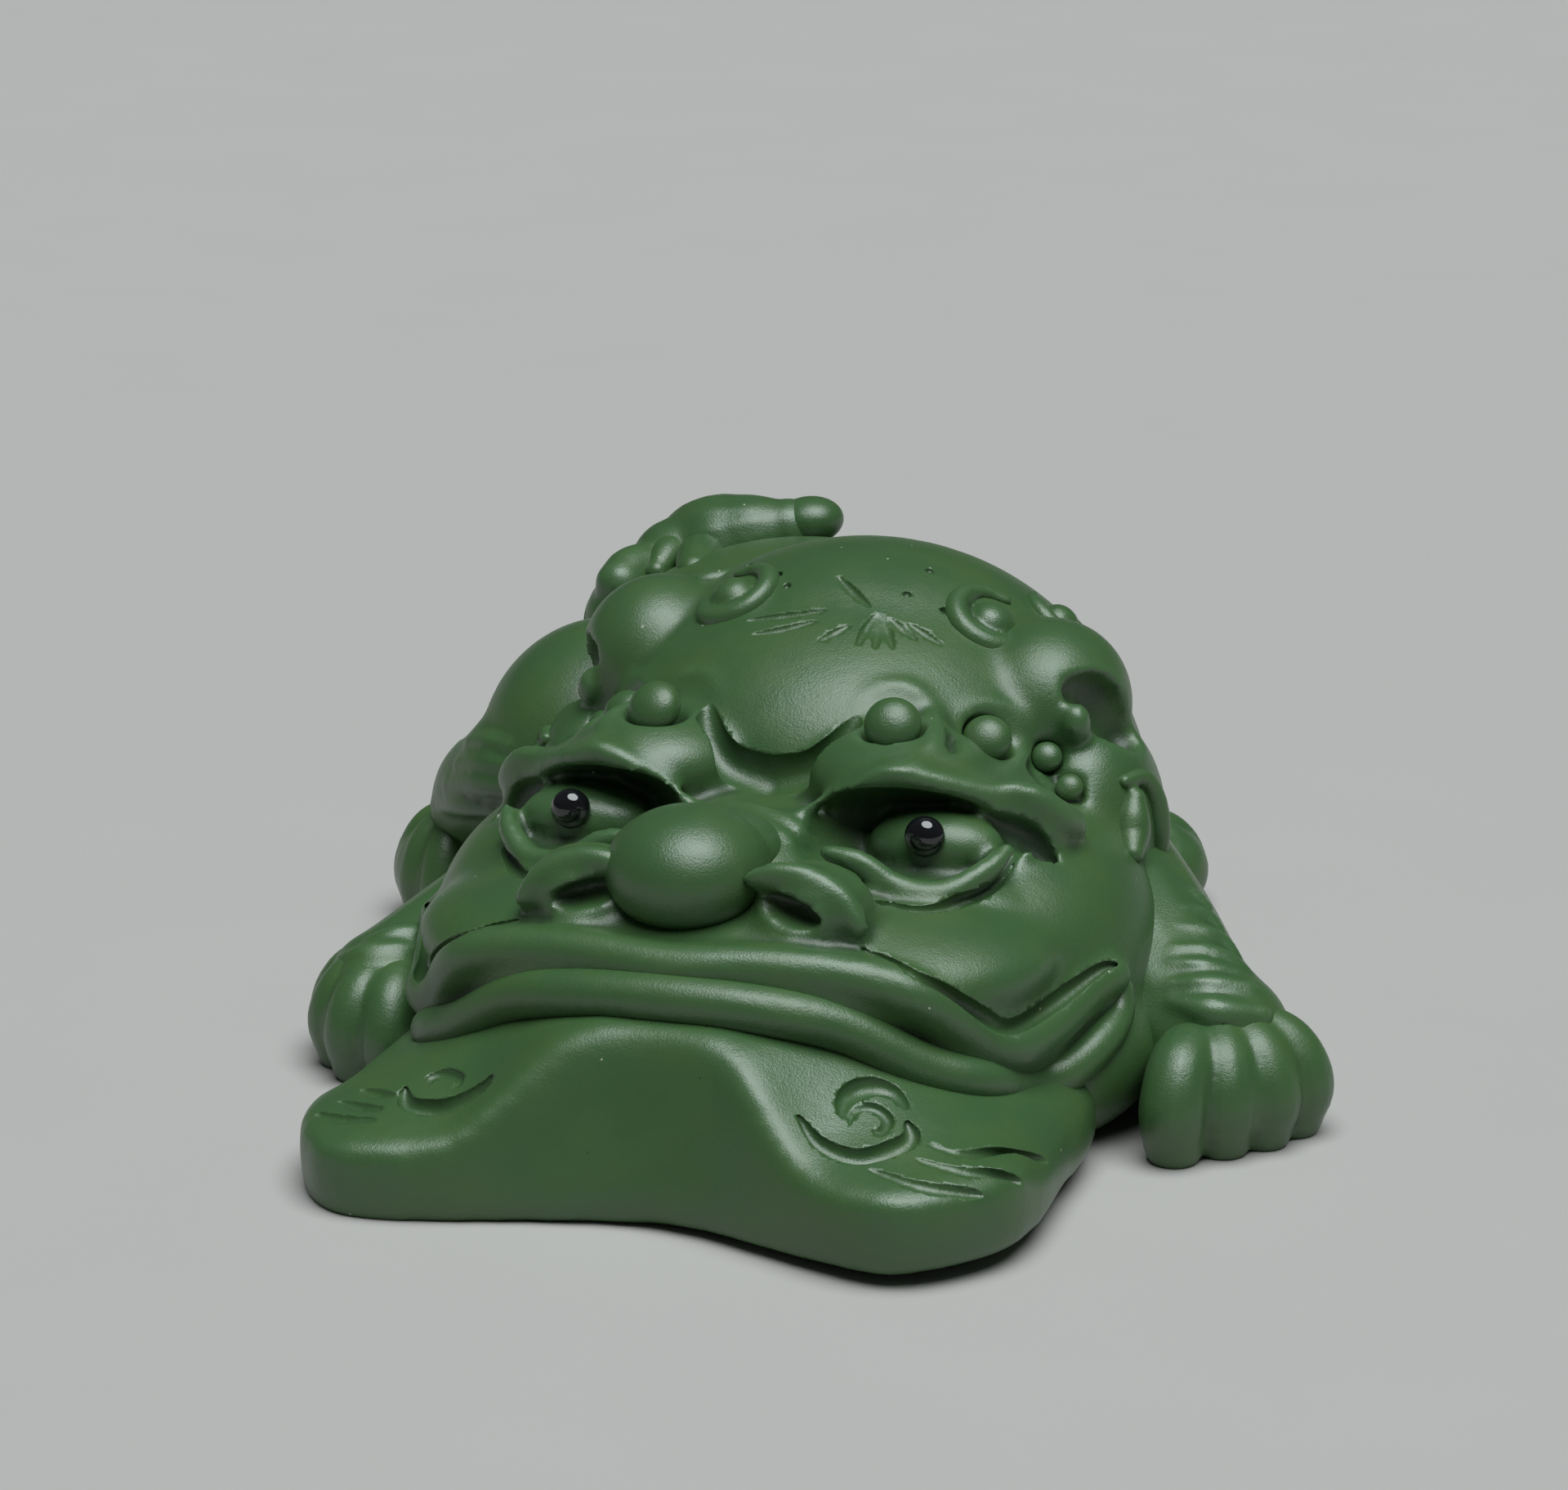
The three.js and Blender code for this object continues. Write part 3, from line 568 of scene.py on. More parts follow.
class Lump:
    """A lump of clay being worked: a closed mesh in millimetres in the figure's axes."""

    def __init__(self, name: str) -> None:
        """Starts with no clay.

        Args:
            name: the piece's name.
        """
        self.name = name
        self.mesh = bpy.data.meshes.new(name)

    def add(
        self, *shapes: Ball | Coil | Board, axes: Axes = Axes.FIGURE, both_sides: bool = False
    ) -> "Lump":
        """Lays balls, coils and boards on the lump.

        Args:
            shapes: what to lay on.
            axes: the axes that the shapes are given in.
            both_sides: whether the mirrored shapes are laid on as well.

        Returns:
            The lump.
        """
        frame = STANCE.matrix(axes)
        if both_sides:
            shapes = (*shapes, *(shape.mirrored() for shape in shapes))
        work = bmesh.new()
        work.from_mesh(self.mesh)
        for shape in shapes:
            shape.pour(work, frame)
        work.to_mesh(self.mesh)
        work.free()
        return self

    def _worked(self, kind: str, **settings: object) -> "Lump":
        """Runs a modifier over the lump and keeps the result.

        Args:
            kind: the modifier's type.
            settings: its properties.

        Returns:
            The lump.
        """
        holder = bpy.data.objects.new(self.name, self.mesh)
        bpy.context.scene.collection.objects.link(holder)
        modifier = holder.modifiers.new(kind.lower(), kind)
        for name, value in settings.items():
            setattr(modifier, name, value)
        graph = bpy.context.evaluated_depsgraph_get()
        worked = bpy.data.meshes.new_from_object(holder.evaluated_get(graph))
        bpy.data.objects.remove(holder)
        bpy.data.meshes.remove(self.mesh)
        self.mesh = worked
        return self

    def knead(self, voxel: float, rounds: int) -> "Lump":
        """Makes one closed skin of all that was laid on, as fine as the voxel, and smooths it."""
        return self._worked("REMESH", mode="VOXEL", voxel_size=voxel).ease(rounds)

    def ease(self, rounds: int) -> "Lump":
        """Smooths the skin by some rounds."""
        return self._worked("SMOOTH", factor=0.5, iterations=rounds)

    def carve(self, cutter: "Lump") -> "Lump":
        """Cuts the lump with another lump, which is used up.

        Args:
            cutter: the lump that cuts.

        Returns:
            The lump.
        """
        tool = bpy.data.objects.new(cutter.name, cutter.mesh)
        bpy.context.scene.collection.objects.link(tool)
        self._worked("BOOLEAN", operation="DIFFERENCE", solver="MANIFOLD", object=tool)
        bpy.data.objects.remove(tool)
        bpy.data.meshes.remove(cutter.mesh)
        return self

    def stand(self, level: float = 0.0) -> "Lump":
        """Cuts the lump flat underneath, at a level."""
        return self.carve(Lump("floor").add(Board(low=-60.0, high=level)))

    def place(self, matrix: Matrix) -> "Lump":
        """Moves the whole lump."""
        self.mesh.transform(matrix)
        return self

    def copy(self, name: str) -> "Lump":
        """A second lump of the same shape."""
        twin = Lump(name)
        bpy.data.meshes.remove(twin.mesh)
        twin.mesh = self.mesh.copy()
        return twin

    def spots(self) -> np.ndarray:
        """The skin's points, one a row."""
        flat = np.empty(len(self.mesh.vertices) * 3)
        self.mesh.vertices.foreach_get("co", flat)
        return flat.reshape(-1, 3)

    def normals(self) -> np.ndarray:
        """The skin's outward directions, one a row."""
        flat = np.empty(len(self.mesh.vertices) * 3)
        self.mesh.vertex_normals.foreach_get("vector", flat)
        return flat.reshape(-1, 3)

    def move_to(self, spots: np.ndarray) -> "Lump":
        """Puts the skin's points at new places, one a row."""
        self.mesh.vertices.foreach_set("co", spots.ravel())
        self.mesh.update()
        return self

    def tree(self) -> BVHTree:
        """A search tree over the skin."""
        work = bmesh.new()
        work.from_mesh(self.mesh)
        tree = BVHTree.FromBMesh(work)
        work.free()
        return tree

    def press(self, *strokes: Stroke) -> "Lump":
        """Works soft strokes into the skin.

        Args:
            strokes: the strokes; where sunk ones cross, the deeper holds.

        Returns:
            The lump.
        """
        tree = self.tree()
        spots, normals = self.spots(), self.normals()
        raised, sunk = np.zeros(len(spots)), np.zeros(len(spots))
        for stroke in strokes:
            for run in stroke.laid(tree):
                near, amount = stroke.moves(run, spots, normals)
                raised[near] = np.maximum(raised[near], amount)
                sunk[near] = np.minimum(sunk[near], amount)
        return self.move_to(spots + normals * (raised + sunk)[:, None])

    def engrave(self, *strokes: Stroke) -> "Lump":
        """Cuts crisp round-bottomed lines into the clay.

        Args:
            strokes: the lines.

        Returns:
            The lump.
        """
        tree = self.tree()
        cutter = Lump("lines")
        for stroke in strokes:
            cutter.add(*(stroke.cutter(run) for run in stroke.laid(tree)))
        return self.carve(cutter.knead(voxel=0.2, rounds=1))

    def mark_hollows(self, rounds: int = 12, pull: float = 0.7, reach: float = 0.25) -> None:
        """Writes how hollow or proud the skin is at each point, for the finish to read; the finish paints
        shade into the hollows.

        Args:
            rounds: rounds of evening out that the skin is compared with.
            pull: how far a round moves a point towards the middle of its neighbours.
            reach: the depth in millimetres that counts as fully hollow or fully proud.
        """
        spots, normals = self.spots(), self.normals()
        pairs = np.empty(len(self.mesh.edges) * 2, np.int64)
        self.mesh.edges.foreach_get("vertices", pairs)
        first, second = pairs[0::2], pairs[1::2]
        size = len(spots)
        count = np.maximum(np.bincount(pairs, minlength=size), 1)
        even = spots.copy()
        for _ in range(rounds):
            total = np.zeros_like(even)
            for axis in range(3):
                total[:, axis] += np.bincount(first, even[second, axis], size)
                total[:, axis] += np.bincount(second, even[first, axis], size)
            even = (1.0 - pull) * even + pull * total / count[:, None]
        depth = np.einsum("ij,ij->i", even - spots, normals) / reach
        layer = self.mesh.attributes.new(HOLLOW, "FLOAT", "POINT")
        layer.data.foreach_set("value", np.clip(0.5 + 0.5 * depth, 0.0, 1.0).astype(np.float32))


class NodeBench:
    """Small helper that places and joins shader nodes in a tree."""

    mix_inputs: tuple[int, int, int] = (0, 6, 7)
    mix_output: int = 2

    def __init__(self, tree: bpy.types.NodeTree) -> None:
        """Works on one tree.

        Args:
            tree: the tree that gets the nodes.
        """
        self.tree = tree

    def node(self, kind: str, settings: dict | None = None, **inputs: object) -> bpy.types.Node:
        """Places a node.

        Args:
            kind: the node's type.
            settings: the node's own properties.
            inputs: values or output sockets for its inputs, by name with spaces as underscores.

        Returns:
            The node.
        """
        made = self.tree.nodes.new(kind)
        for name, value in (settings or {}).items():
            setattr(made, name, value)
        for name, value in inputs.items():
            self.feed(made.inputs[name.replace("_", " ")], value)
        return made

    def feed(self, socket: bpy.types.NodeSocket, value: object) -> None:
        """Sets a socket to a value or joins it to an output."""
        if isinstance(value, bpy.types.NodeSocket):
            self.tree.links.new(value, socket)
        else:
            socket.default_value = value

    def math(self, operation: str, *terms: object) -> bpy.types.NodeSocket:
        """Places a sum and gives its result."""
        made = self.node("ShaderNodeMath", {"operation": operation})
        for socket, term in zip(made.inputs, terms):
            self.feed(socket, term)
        return made.outputs[0]

    def span(
        self, value: object, low: float, high: float, to_low: float = 0.0, to_high: float = 1.0
    ) -> bpy.types.NodeSocket:
        """Places a soft clamped change of range and gives its result."""
        made = self.node("ShaderNodeMapRange", {"interpolation_type": "SMOOTHSTEP"})
        for socket, item in zip(made.inputs, (value, low, high, to_low, to_high)):
            self.feed(socket, item)
        return made.outputs[0]

    def blend(self, share: object, first: object, second: object) -> bpy.types.NodeSocket:
        """Places a mix of two colours and gives its result."""
        made = self.node("ShaderNodeMix", {"data_type": "RGBA"})
        for index, item in zip(self.mix_inputs, (share, first, second)):
            self.feed(made.inputs[index], item)
        return made.outputs[self.mix_output]


def new_material(name: str) -> tuple[bpy.types.Material, NodeBench, bpy.types.Node]:
    """Starts a material.

    Args:
        name: the material's name.

    Returns:
        The material, a bench for its nodes, and its shader.
    """
    made = bpy.data.materials.new(name)
    made.use_nodes = True
    return made, NodeBench(made.node_tree), made.node_tree.nodes["Principled BSDF"]


def shared_group(
    name: str, inputs: dict[str, float], outputs: Sequence[str]
) -> tuple[bpy.types.NodeTree, NodeBench]:
    """Starts a shader node group with named sockets.

    Args:
        name: the group's name.
        inputs: the inputs and their usual values.
        outputs: the outputs.

    Returns:
        The group and a bench for it.
    """
    group = bpy.data.node_groups.new(name, "ShaderNodeTree")
    for label, value in inputs.items():
        socket = group.interface.new_socket(label, in_out="INPUT", socket_type="NodeSocketFloat")
        socket.default_value = value
    for label in outputs:
        group.interface.new_socket(label, in_out="OUTPUT", socket_type="NodeSocketFloat")
    return group, NodeBench(group)


@dataclass(frozen=True)
class SandGrain:
    """The fired clay's fine sand: a height for the bump, pale specks and dark pinholes."""

    grain_per_metre: float = 5200.0
    coarse_per_metre: float = 900.0
    specks_per_metre: float = 900.0
    speck_share: float = 0.03
    pinhole_share: float = 0.9
    coarse_height: float = 0.8
    pinhole_depth: float = 2.2
    core: Spot = (0.05, 0.12)

    def group(self) -> bpy.types.NodeTree:
        """Builds the node group.

        Returns:
            The group.
        """
        wanted = {
            "Grain per metre": self.grain_per_metre,
            "Specks per metre": self.specks_per_metre,
            "Speck share": self.speck_share,
        }
        group, bench = shared_group("sand_grain", wanted, ("Height", "Specks", "Pinholes"))
        per_grain, per_speck, share = bench.node("NodeGroupInput").outputs[:3]
        place = bench.node("ShaderNodeTexCoord").outputs["Object"]
        noise = "ShaderNodeTexNoise"
        fine = bench.node(noise, Vector=place, Scale=per_grain, Detail=3.0, Roughness=0.6)
        coarse = bench.node(noise, Vector=place, Scale=self.coarse_per_metre, Detail=2.0, Roughness=0.5)
        cells = bench.node("ShaderNodeTexVoronoi", Vector=place, Scale=per_speck)
        chance = bench.node("ShaderNodeSeparateColor", Color=cells.outputs["Color"])
        core = bench.span(cells.outputs["Distance"], *self.core, 1.0, 0.0)
        specks = bench.math("MULTIPLY", core, bench.math("LESS_THAN", chance.outputs[0], share))
        fewer = bench.math("MULTIPLY", share, self.pinhole_share)
        pinholes = bench.math("MULTIPLY", core, bench.math("LESS_THAN", chance.outputs[1], fewer))
        sand = bench.math("MULTIPLY_ADD", coarse.outputs[0], self.coarse_height, fine.outputs[0])
        height = bench.math("SUBTRACT", sand, bench.math("MULTIPLY", pinholes, self.pinhole_depth))
        sink = bench.node("NodeGroupOutput")
        for socket, value in zip(sink.inputs, (height, specks, pinholes)):
            bench.feed(socket, value)
        return group


@dataclass(frozen=True)
class Handling:
    """Hollows, which the finish dulls and paints with shade, and proud edges rubbed by wear, read from the
    skin.
    """

    unevenness_per_metre: float = 160.0
    hollow_range: Spot = (0.55, 1.0)
    proud_range: Spot = (0.45, 0.0)

    def group(self) -> bpy.types.NodeTree:
        """Builds the node group.

        Returns:
            The group.
        """
        wanted = {"Unevenness per metre": self.unevenness_per_metre}
        group, bench = shared_group("handling", wanted, ("Hollow", "Proud", "Mottle"))
        scale = bench.node("NodeGroupInput").outputs[0]
        place = bench.node("ShaderNodeTexCoord").outputs["Object"]
        depth = bench.node("ShaderNodeAttribute", {"attribute_name": HOLLOW}).outputs["Fac"]
        mottle = bench.node("ShaderNodeTexNoise", Vector=place, Scale=scale, Detail=4.0, Roughness=0.55)
        # the hollow mask drives the painted shade in the clay's colour, as well as its dullness
        hollow = bench.span(depth, *self.hollow_range)
        proud = bench.span(depth, *self.proud_range)
        sink = bench.node("NodeGroupOutput")
        for socket, value in zip(sink.inputs, (hollow, proud, mottle.outputs[0])):
            bench.feed(socket, value)
        return group


@dataclass(frozen=True)
class ClayFinish:
    """Fired green sand-clay, burnished to a soft sheen, with shade painted into its hollows."""

    body: Colour = (0.045, 0.109, 0.037, 1.0)
    # painted shade: the dark green that hollows are mixed towards; the pinholes use it too
    hollow_shade_and_pinholes: Colour = (0.016, 0.038, 0.015, 1.0)
    rubbed: Colour = (0.066, 0.145, 0.056, 1.0)
    warm: Colour = (0.051, 0.114, 0.032, 1.0)
    speck: Colour = (0.42, 0.46, 0.36, 1.0)
    warm_range: Spot = (0.35, 0.7)
    rubbed_share: float = 0.6
    hollow_shade_share: float = 0.75
    pinhole_share: float = 0.7
    sheen_range: Spot = (0.3, 0.7)
    sheen: Spot = (0.31, 0.4)
    hollow_dullness: float = 0.12
    gloss: float = 0.7
    grain: float = 0.14
    grain_height: float = 0.0004

    def material(self, grain: bpy.types.NodeTree, handling: bpy.types.NodeTree) -> bpy.types.Material:
        """Builds the material.

        Args:
            grain: the shared sand grain group.
            handling: the shared handling group.

        Returns:
            The material.
        """
        made, bench, shader = new_material(Slot.GREEN_CLAY.value)
        height, specks, pinholes = bench.node("ShaderNodeGroup", {"node_tree": grain}).outputs
        hollow, proud, mottle = bench.node("ShaderNodeGroup", {"node_tree": handling}).outputs
        # Painted shade: the hollows are darkened towards the dark green; proud edges are lighter from wear.
        layers = (
            (bench.math("MULTIPLY", proud, self.rubbed_share), self.rubbed),
            (bench.math("MULTIPLY", hollow, self.hollow_shade_share), self.hollow_shade_and_pinholes),
            (specks, self.speck),
            (bench.math("MULTIPLY", pinholes, self.pinhole_share), self.hollow_shade_and_pinholes),
        )
        colour = bench.blend(bench.span(mottle, *self.warm_range), self.body, self.warm)
        for share, layer in layers:
            colour = bench.blend(share, colour, layer)
        bench.feed(shader.inputs["Base Color"], colour)
        dull = bench.span(mottle, *self.sheen_range, *self.sheen)
        bench.feed(shader.inputs["Roughness"], bench.math("MULTIPLY_ADD", hollow, self.hollow_dullness, dull))
        bump = bench.node("ShaderNodeBump", Height=height, Strength=self.grain, Distance=self.grain_height)
        bench.feed(shader.inputs["Normal"], bump.outputs[0])
        shader.inputs["Specular IOR Level"].default_value = self.gloss
        return made


@dataclass(frozen=True)
class GlazeFinish:
    """Glossy black glaze of the pupil beads."""

    body: Colour = (0.004, 0.004, 0.005, 1.0)
    haze: Colour = (0.010, 0.010, 0.012, 1.0)
    unevenness_per_metre: float = 900.0
    sheen_range: Spot = (0.3, 0.7)
    sheen: Spot = (0.05, 0.12)
    coat: float = 0.6
    coat_sheen: float = 0.04

    def material(self, handling: bpy.types.NodeTree) -> bpy.types.Material:
        """Builds the material.

        Args:
            handling: the shared handling group.

        Returns:
            The material.
        """
        made, bench, shader = new_material(Slot.BLACK_GLAZE.value)
        wear = bench.node("ShaderNodeGroup", {"node_tree": handling})
        wear.inputs[0].default_value = self.unevenness_per_metre
        mottle = wear.outputs["Mottle"]
        bench.feed(shader.inputs["Base Color"], bench.blend(mottle, self.body, self.haze))
        bench.feed(shader.inputs["Roughness"], bench.span(mottle, *self.sheen_range, *self.sheen))
        shader.inputs["Coat Weight"].default_value = self.coat
        shader.inputs["Coat Roughness"].default_value = self.coat_sheen
        return made


class Workshop:
    """Holds the figure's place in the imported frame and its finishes, and puts finished pieces there."""

    pupil_seat: Point = (0.0, -13.706, 24.8)

    def __init__(self) -> None:
        """Finds the figure's place from its two pupil beads, and mixes the finishes."""
        centres = [sum(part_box(f"pupil_bead_{side.word}"), Vector()) / 2 for side in Side]
        seat = STANCE.matrix(Axes.HEAD) @ Vector(self.pupil_seat)
        self.shift = (centres[0] + centres[1]) / (2 * MM) - seat
        grain, handling = SandGrain().group(), Handling().group()
        self.finishes = {
            Slot.GREEN_CLAY: ClayFinish().material(grain, handling),
            Slot.BLACK_GLAZE: GlazeFinish().material(handling),
        }

    def publish(self, lump: Lump, *nodes: str, slot: Slot = Slot.GREEN_CLAY) -> None:
        """Turns a finished lump into a piece of the figure.

        Args:
            lump: the clay.
            nodes: the CAD nodes that the piece stands for, if not the one of its own name.
            slot: the record's name for its finish.
        """
        nodes = nodes or (lump.name,)
        lump.mark_hollows()
        mesh = lump.mesh
        mesh.transform(Matrix.Scale(MM, 4) @ Matrix.Translation(self.shift))
        mesh.polygons.foreach_set("use_smooth", np.ones(len(mesh.polygons), bool))
        mesh.materials.clear()
        mesh.materials.append(self.finishes[slot])
        piece = bpy.data.objects.new(f"{lump.name}_{slot.value}", mesh)
        bpy.context.scene.collection.objects.link(piece)
        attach(piece, "root")
        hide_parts(*nodes)
        log.info("%s: %d faces for %s", piece.name, len(mesh.polygons), ", ".join(nodes))


@dataclass
class Head:
    """The great head: crown, cheeks, muzzle, brow shelf, eyes, nostrils and ears in one skin.

    Nose, lower lip, pellets and pupils are pieces that sit on it. What comes in pairs is given for
    the left side.
    """

    crown: Ball = Ball((0, 14, 24), (21, 22.3, 14))
    skull: Ball = Ball((0, 7, 13), (27.5, 21, 17))
    cheek: Ball = Ball((18.0, -2.7, 12), (12.6, 18, 11.6))
    jowl: Ball = Ball((20, -6.5, 5.5), (12.2, 13, 8))
    muzzle: Ball = Ball((0, -17, 16), (27, 16.5, 6.5))
    jaw: Ball = Ball((0, -17, 10), (27.5, 16.5, 8))
    mane_side: Ball = Ball((21.5, 11, 18.2), (6.2, 9, 10))
    nape: Ball = Ball((1, 17, 15), (24.8, 22.8, 25))
    bridge: Ball = Ball((0, -13, 21.3), (8.5, 11, 4.9))
    ears: tuple[Ball, Ball] = (
        Ball((17.2, 13, 28.2), (7.2, 8, 7.2)),
        Ball((-17.0, 13, 30.0), (7.0, 7.6, 7.2)),
    )
    ear_hollow: LaidCoil = LaidCoil(
        ((1322, 846), (1340, 850), (1360, 868), (1380, 894)), (1.5, 2.2, 2.6, 1.9), sink=0.4
    )
    ear_bead: Pixel = (1317, 886)
    ear_bead_half: Point = (1.3, 1.4, 1.8)
    brow_plate: Ball = Ball((13.6, -4.8, 24.4), (11.0, 8.4, 4.5), (0, 12, 0))
    brow_swell: Ball = Ball((10.5, -6.0, 27.4), (7.5, 7.0, 4.0))
    brow_edge: Coil = Coil(
        (
            (4.6, -13.2, 25.8), (8.3, -12.9, 27.4), (12.0, -12.5, 29.4), (15.4, -11.2, 28.5),
            (18.4, -9.1, 27.2), (20.8, -6.8, 26.4), (22.8, -5.1, 25.0), (24.6, -3.3, 23.4),
        ),
        (0.8, 1.0, 1.15, 1.2, 1.25, 1.3, 1.35, 1.2),
    )
    brow_tip: LaidCoil = LaidCoil(
        ((1240, 962), (1272, 978), (1302, 1002), (1326, 1018)), (0.9, 1.3, 1.3, 0.8), sink=0.5
    )
    brow_gap: Coil = Coil(((11.8, -12.8, 27.2), (15.2, -11.6, 26.3), (18.2, -9.9, 25.0)), (0.8, 0.9, 0.8))
    under_brow: LaidCoil = LaidCoil(
        ((1186, 1004), (1220, 1008), (1252, 1015), (1276, 1036), (1298, 1054)),
        (1.1, 1.3, 1.35, 1.25, 0.7),
        sink=1.0,
    )
    bow_half: Coil = Coil(
        ((0, -8.3, 27.1), (3.4, -7.7, 27.9), (5.2, -6.6, 29.3), (6.1, -5.3, 30.8), (6.6, -3.9, 32.0)),
        (1.9, 1.65, 1.35, 1.05, 0.6),
    )
    socket: Ball = Ball((14.4, -15.2, 24.5), (9.6, 8.0, 4.0), (0, 8, 16))
    eyeball: Ball = Ball((15.0, -10.4, 23.2), (5.6, 3.3, 2.7))
    lid_bed: Ball = Ball((15, -12.0, 19.3), (8.6, 5.8, 2.7))
    lower_lid: Coil = Coil(
        (
            (8.4, -17.6, 24.2), (11.0, -17.6, 23.6), (13.4, -17.4, 21.9), (15.6, -17.1, 21.2),
            (18, -16.2, 21.3), (20.4, -13.9, 22.6), (21.4, -12, 23.6),
        ),
        (0.8, 1.0, 1.15, 1.2, 1.15, 1.0, 0.7),
    )
    pupil: Point = (15.1, -13.6, 24.8)
    pupil_radius: float = 1.65
    pupil_shape: Point = (1.0, 0.86, 1.02)
    wing: Ball = Ball((9.5, -24.2, 22.2), (4.8, 4.4, 3.5))
    wing_rim: Coil = Coil(
        (
            (5.1, -26.6, 24.7), (7.4, -26.4, 25.4), (10.1, -26.2, 24.9), (12.5, -26.4, 23.6),
            (14.0, -26.8, 21.6),
        ),
        (0.8, 1.0, 1.1, 1.05, 0.9),
    )
    nostril: Ball = Ball((8.1, -28.4, 22.8), (3.4, 3.2, 1.15), (0, 14, 0))
    nose: Ball = Ball((-1.2, -23.8, 24.2), (6.6, 6.3, 4.9), (6, 0, 0))
    nose_root: Ball = Ball((-0.4, -18.5, 24.0), (5.2, 5, 3.2))
    upper_lip: LaidCoil = LaidCoil(
        (
            (804, 1177), (941, 1180), (1058, 1196), (1129, 1225), (1203, 1268), (1248, 1277), (1289, 1253),
            (1332, 1215), (1362, 1194),
        ),
        (2.0,),
        sink=0.6,
    )
    lower_lip: LaidCoil = LaidCoil(
        (
            (806, 1222), (940, 1239), (1035, 1261), (1129, 1305), (1204, 1324), (1261, 1327), (1308, 1310),
            (1350, 1272), (1370, 1240), (1373, 1212),
        ),
        (2.05, 2.05, 2.0, 1.95, 1.9, 1.85, 1.75, 1.6, 1.4, 1.2),
        sink=0.2,
    )
    pellets: tuple[tuple[Pixel, float], ...] = (
        ((1093, 889), 2.35),
        ((1208, 906), 2.05),
        ((1281, 927), 1.3),
        ((1309, 964), 1.15),
    )
    pellet_flatness: float = 0.64
    pellet_lift: float = 0.15
    pellet_facing: Point = (0.2, -0.75, 0.62)
    pellet_seat: float = 1.15
    ringed_pellets: int = 2
    ring_gap: float = 1.0
    ring_arc: Spot = (-150.0, 110.0)
    ring_steps: int = 9
    ring_radii: tuple[float, ...] = (0.4, 0.8, 0.8, 0.4)
    ring_sink: float = 0.25
    strand_angle: float = 13.0
    strand_sway: float = 1.6
    foot_level: float = 0.3
    skin: BVHTree = field(init=False)

    def form(self) -> Lump:
        """Builds the head's main masses.

        Returns:
            The smoothed lump, without its details.
        """
        lump = Lump("head_shell")
        lump.add(self.crown, self.skull, self.muzzle, self.jaw, axes=Axes.HEAD)
        lump.add(self.cheek, self.jowl, self.mane_side, axes=Axes.HEAD, both_sides=True)
        return lump.add(self.nape).knead(voxel=0.7, rounds=18)

    def dress(self, lump: Lump) -> None:
        """Lays the brow, ears, nostril wings, upper lip and the pellets' rings on the form.

        Args:
            lump: the form, which gets the details.
        """
        lump.add(self.bridge, *self.ears, axes=Axes.HEAD)
        lump.add(self.brow_plate, self.brow_swell, self.brow_edge, self.wing, axes=Axes.HEAD, both_sides=True)
        lump.knead(voxel=0.5, rounds=7)
        self.skin = lump.tree()
        lump.add(self.upper_lip.across(self.skin), *self.brow_tip.pair(self.skin))
        lump.add(self.wing_rim, axes=Axes.HEAD, both_sides=True)
        for (x, y), radius in self.pellets[: self.ringed_pellets]:
            reach = (radius + self.ring_gap) * VIEW.pixels_per_mm
            arc = spiral_run(reach, reach, *self.ring_arc, self.ring_steps)
            ring = LaidCoil(tuple((x + u, y + v) for u, v in arc), self.ring_radii, self.ring_sink)
            lump.add(*ring.pair(self.skin))
        lump.knead(voxel=0.42, rounds=4)

    def spots_under(self, pixel: Pixel) -> list[Point]:
        """The places on the head's skin under a pixel and on the other side."""
        return [tuple(trace((pixel,), self.skin, mirror=mirror)[0][0]) for mirror in (False, True)]

    def hollow_out(self, lump: Lump) -> None:
        """Carves the eyes, the gaps under the brows, the nostrils, the ears and the pellets' seats.

        Args:
            lump: the head.
        """
        cutter = Lump("hollows")
        cutter.add(self.socket, self.brow_gap, self.nostril, axes=Axes.HEAD, both_sides=True)
        cutter.add(*self.ear_hollow.pair(self.skin), *self.under_brow.pair(self.skin))
        for pixel, radius in self.pellets:
            size = self.pellet_seat * radius
            cutter.add(*(Ball(spot, (size, size, size)) for spot in self.spots_under(pixel)))
        lump.carve(cutter.knead(voxel=0.3, rounds=1))

    def face_lines(self) -> tuple[Stroke, ...]:
        """Crisp lines of the face: under the lower lids, and between cheeks and upper lip."""
        under_lid = (
            (1066, 1094), (1085, 1104), (1115, 1111), (1145, 1111), (1172, 1104), (1215, 1084), (1240, 1056),
        )
        lip_crease = (
            (1052, 1158), (1090, 1174), (1129, 1195), (1205, 1243), (1241, 1255), (1279, 1234), (1317, 1206),
            (1352, 1182), (1374, 1180),
        )
        return (
            Stroke(under_lid, half_width=0.65, depth=0.75, taper=0.2, both_sides=True),
            Stroke(lip_crease, half_width=0.75, depth=0.95, taper=0.3, both_sides=True),
        )

    def brow_creases(self) -> tuple[Stroke, ...]:
        """The slot and the dab between the brow's scrolls, and the fold behind its tip."""
        slot = ((1166, 893), (1168, 906), (1166, 920))
        dab = ((1294, 950),)
        tip_fold = ((1268, 905), (1292, 935), (1322, 975), (1328, 1005))
        return (
            Stroke(slot, half_width=0.9, depth=-1.1, both_sides=True),
            Stroke(dab, half_width=1.0, depth=-0.9, both_sides=True),
            Stroke(tip_fold, half_width=0.7, depth=-0.4, both_sides=True),
        )

    def bridge_wrinkles(self) -> tuple[Stroke, ...]:
        """Two thin wrinkles across the bridge of the nose."""
        upper = ((884, 984), (936, 993), (982, 1020), (1001, 1033))
        lower = ((906, 995), (946, 1013), (973, 1035))
        return (
            Stroke(upper, half_width=0.7, depth=0.4, profile=Profile.ROLL),
            Stroke(lower, half_width=0.6, depth=0.3, profile=Profile.ROLL),
        )

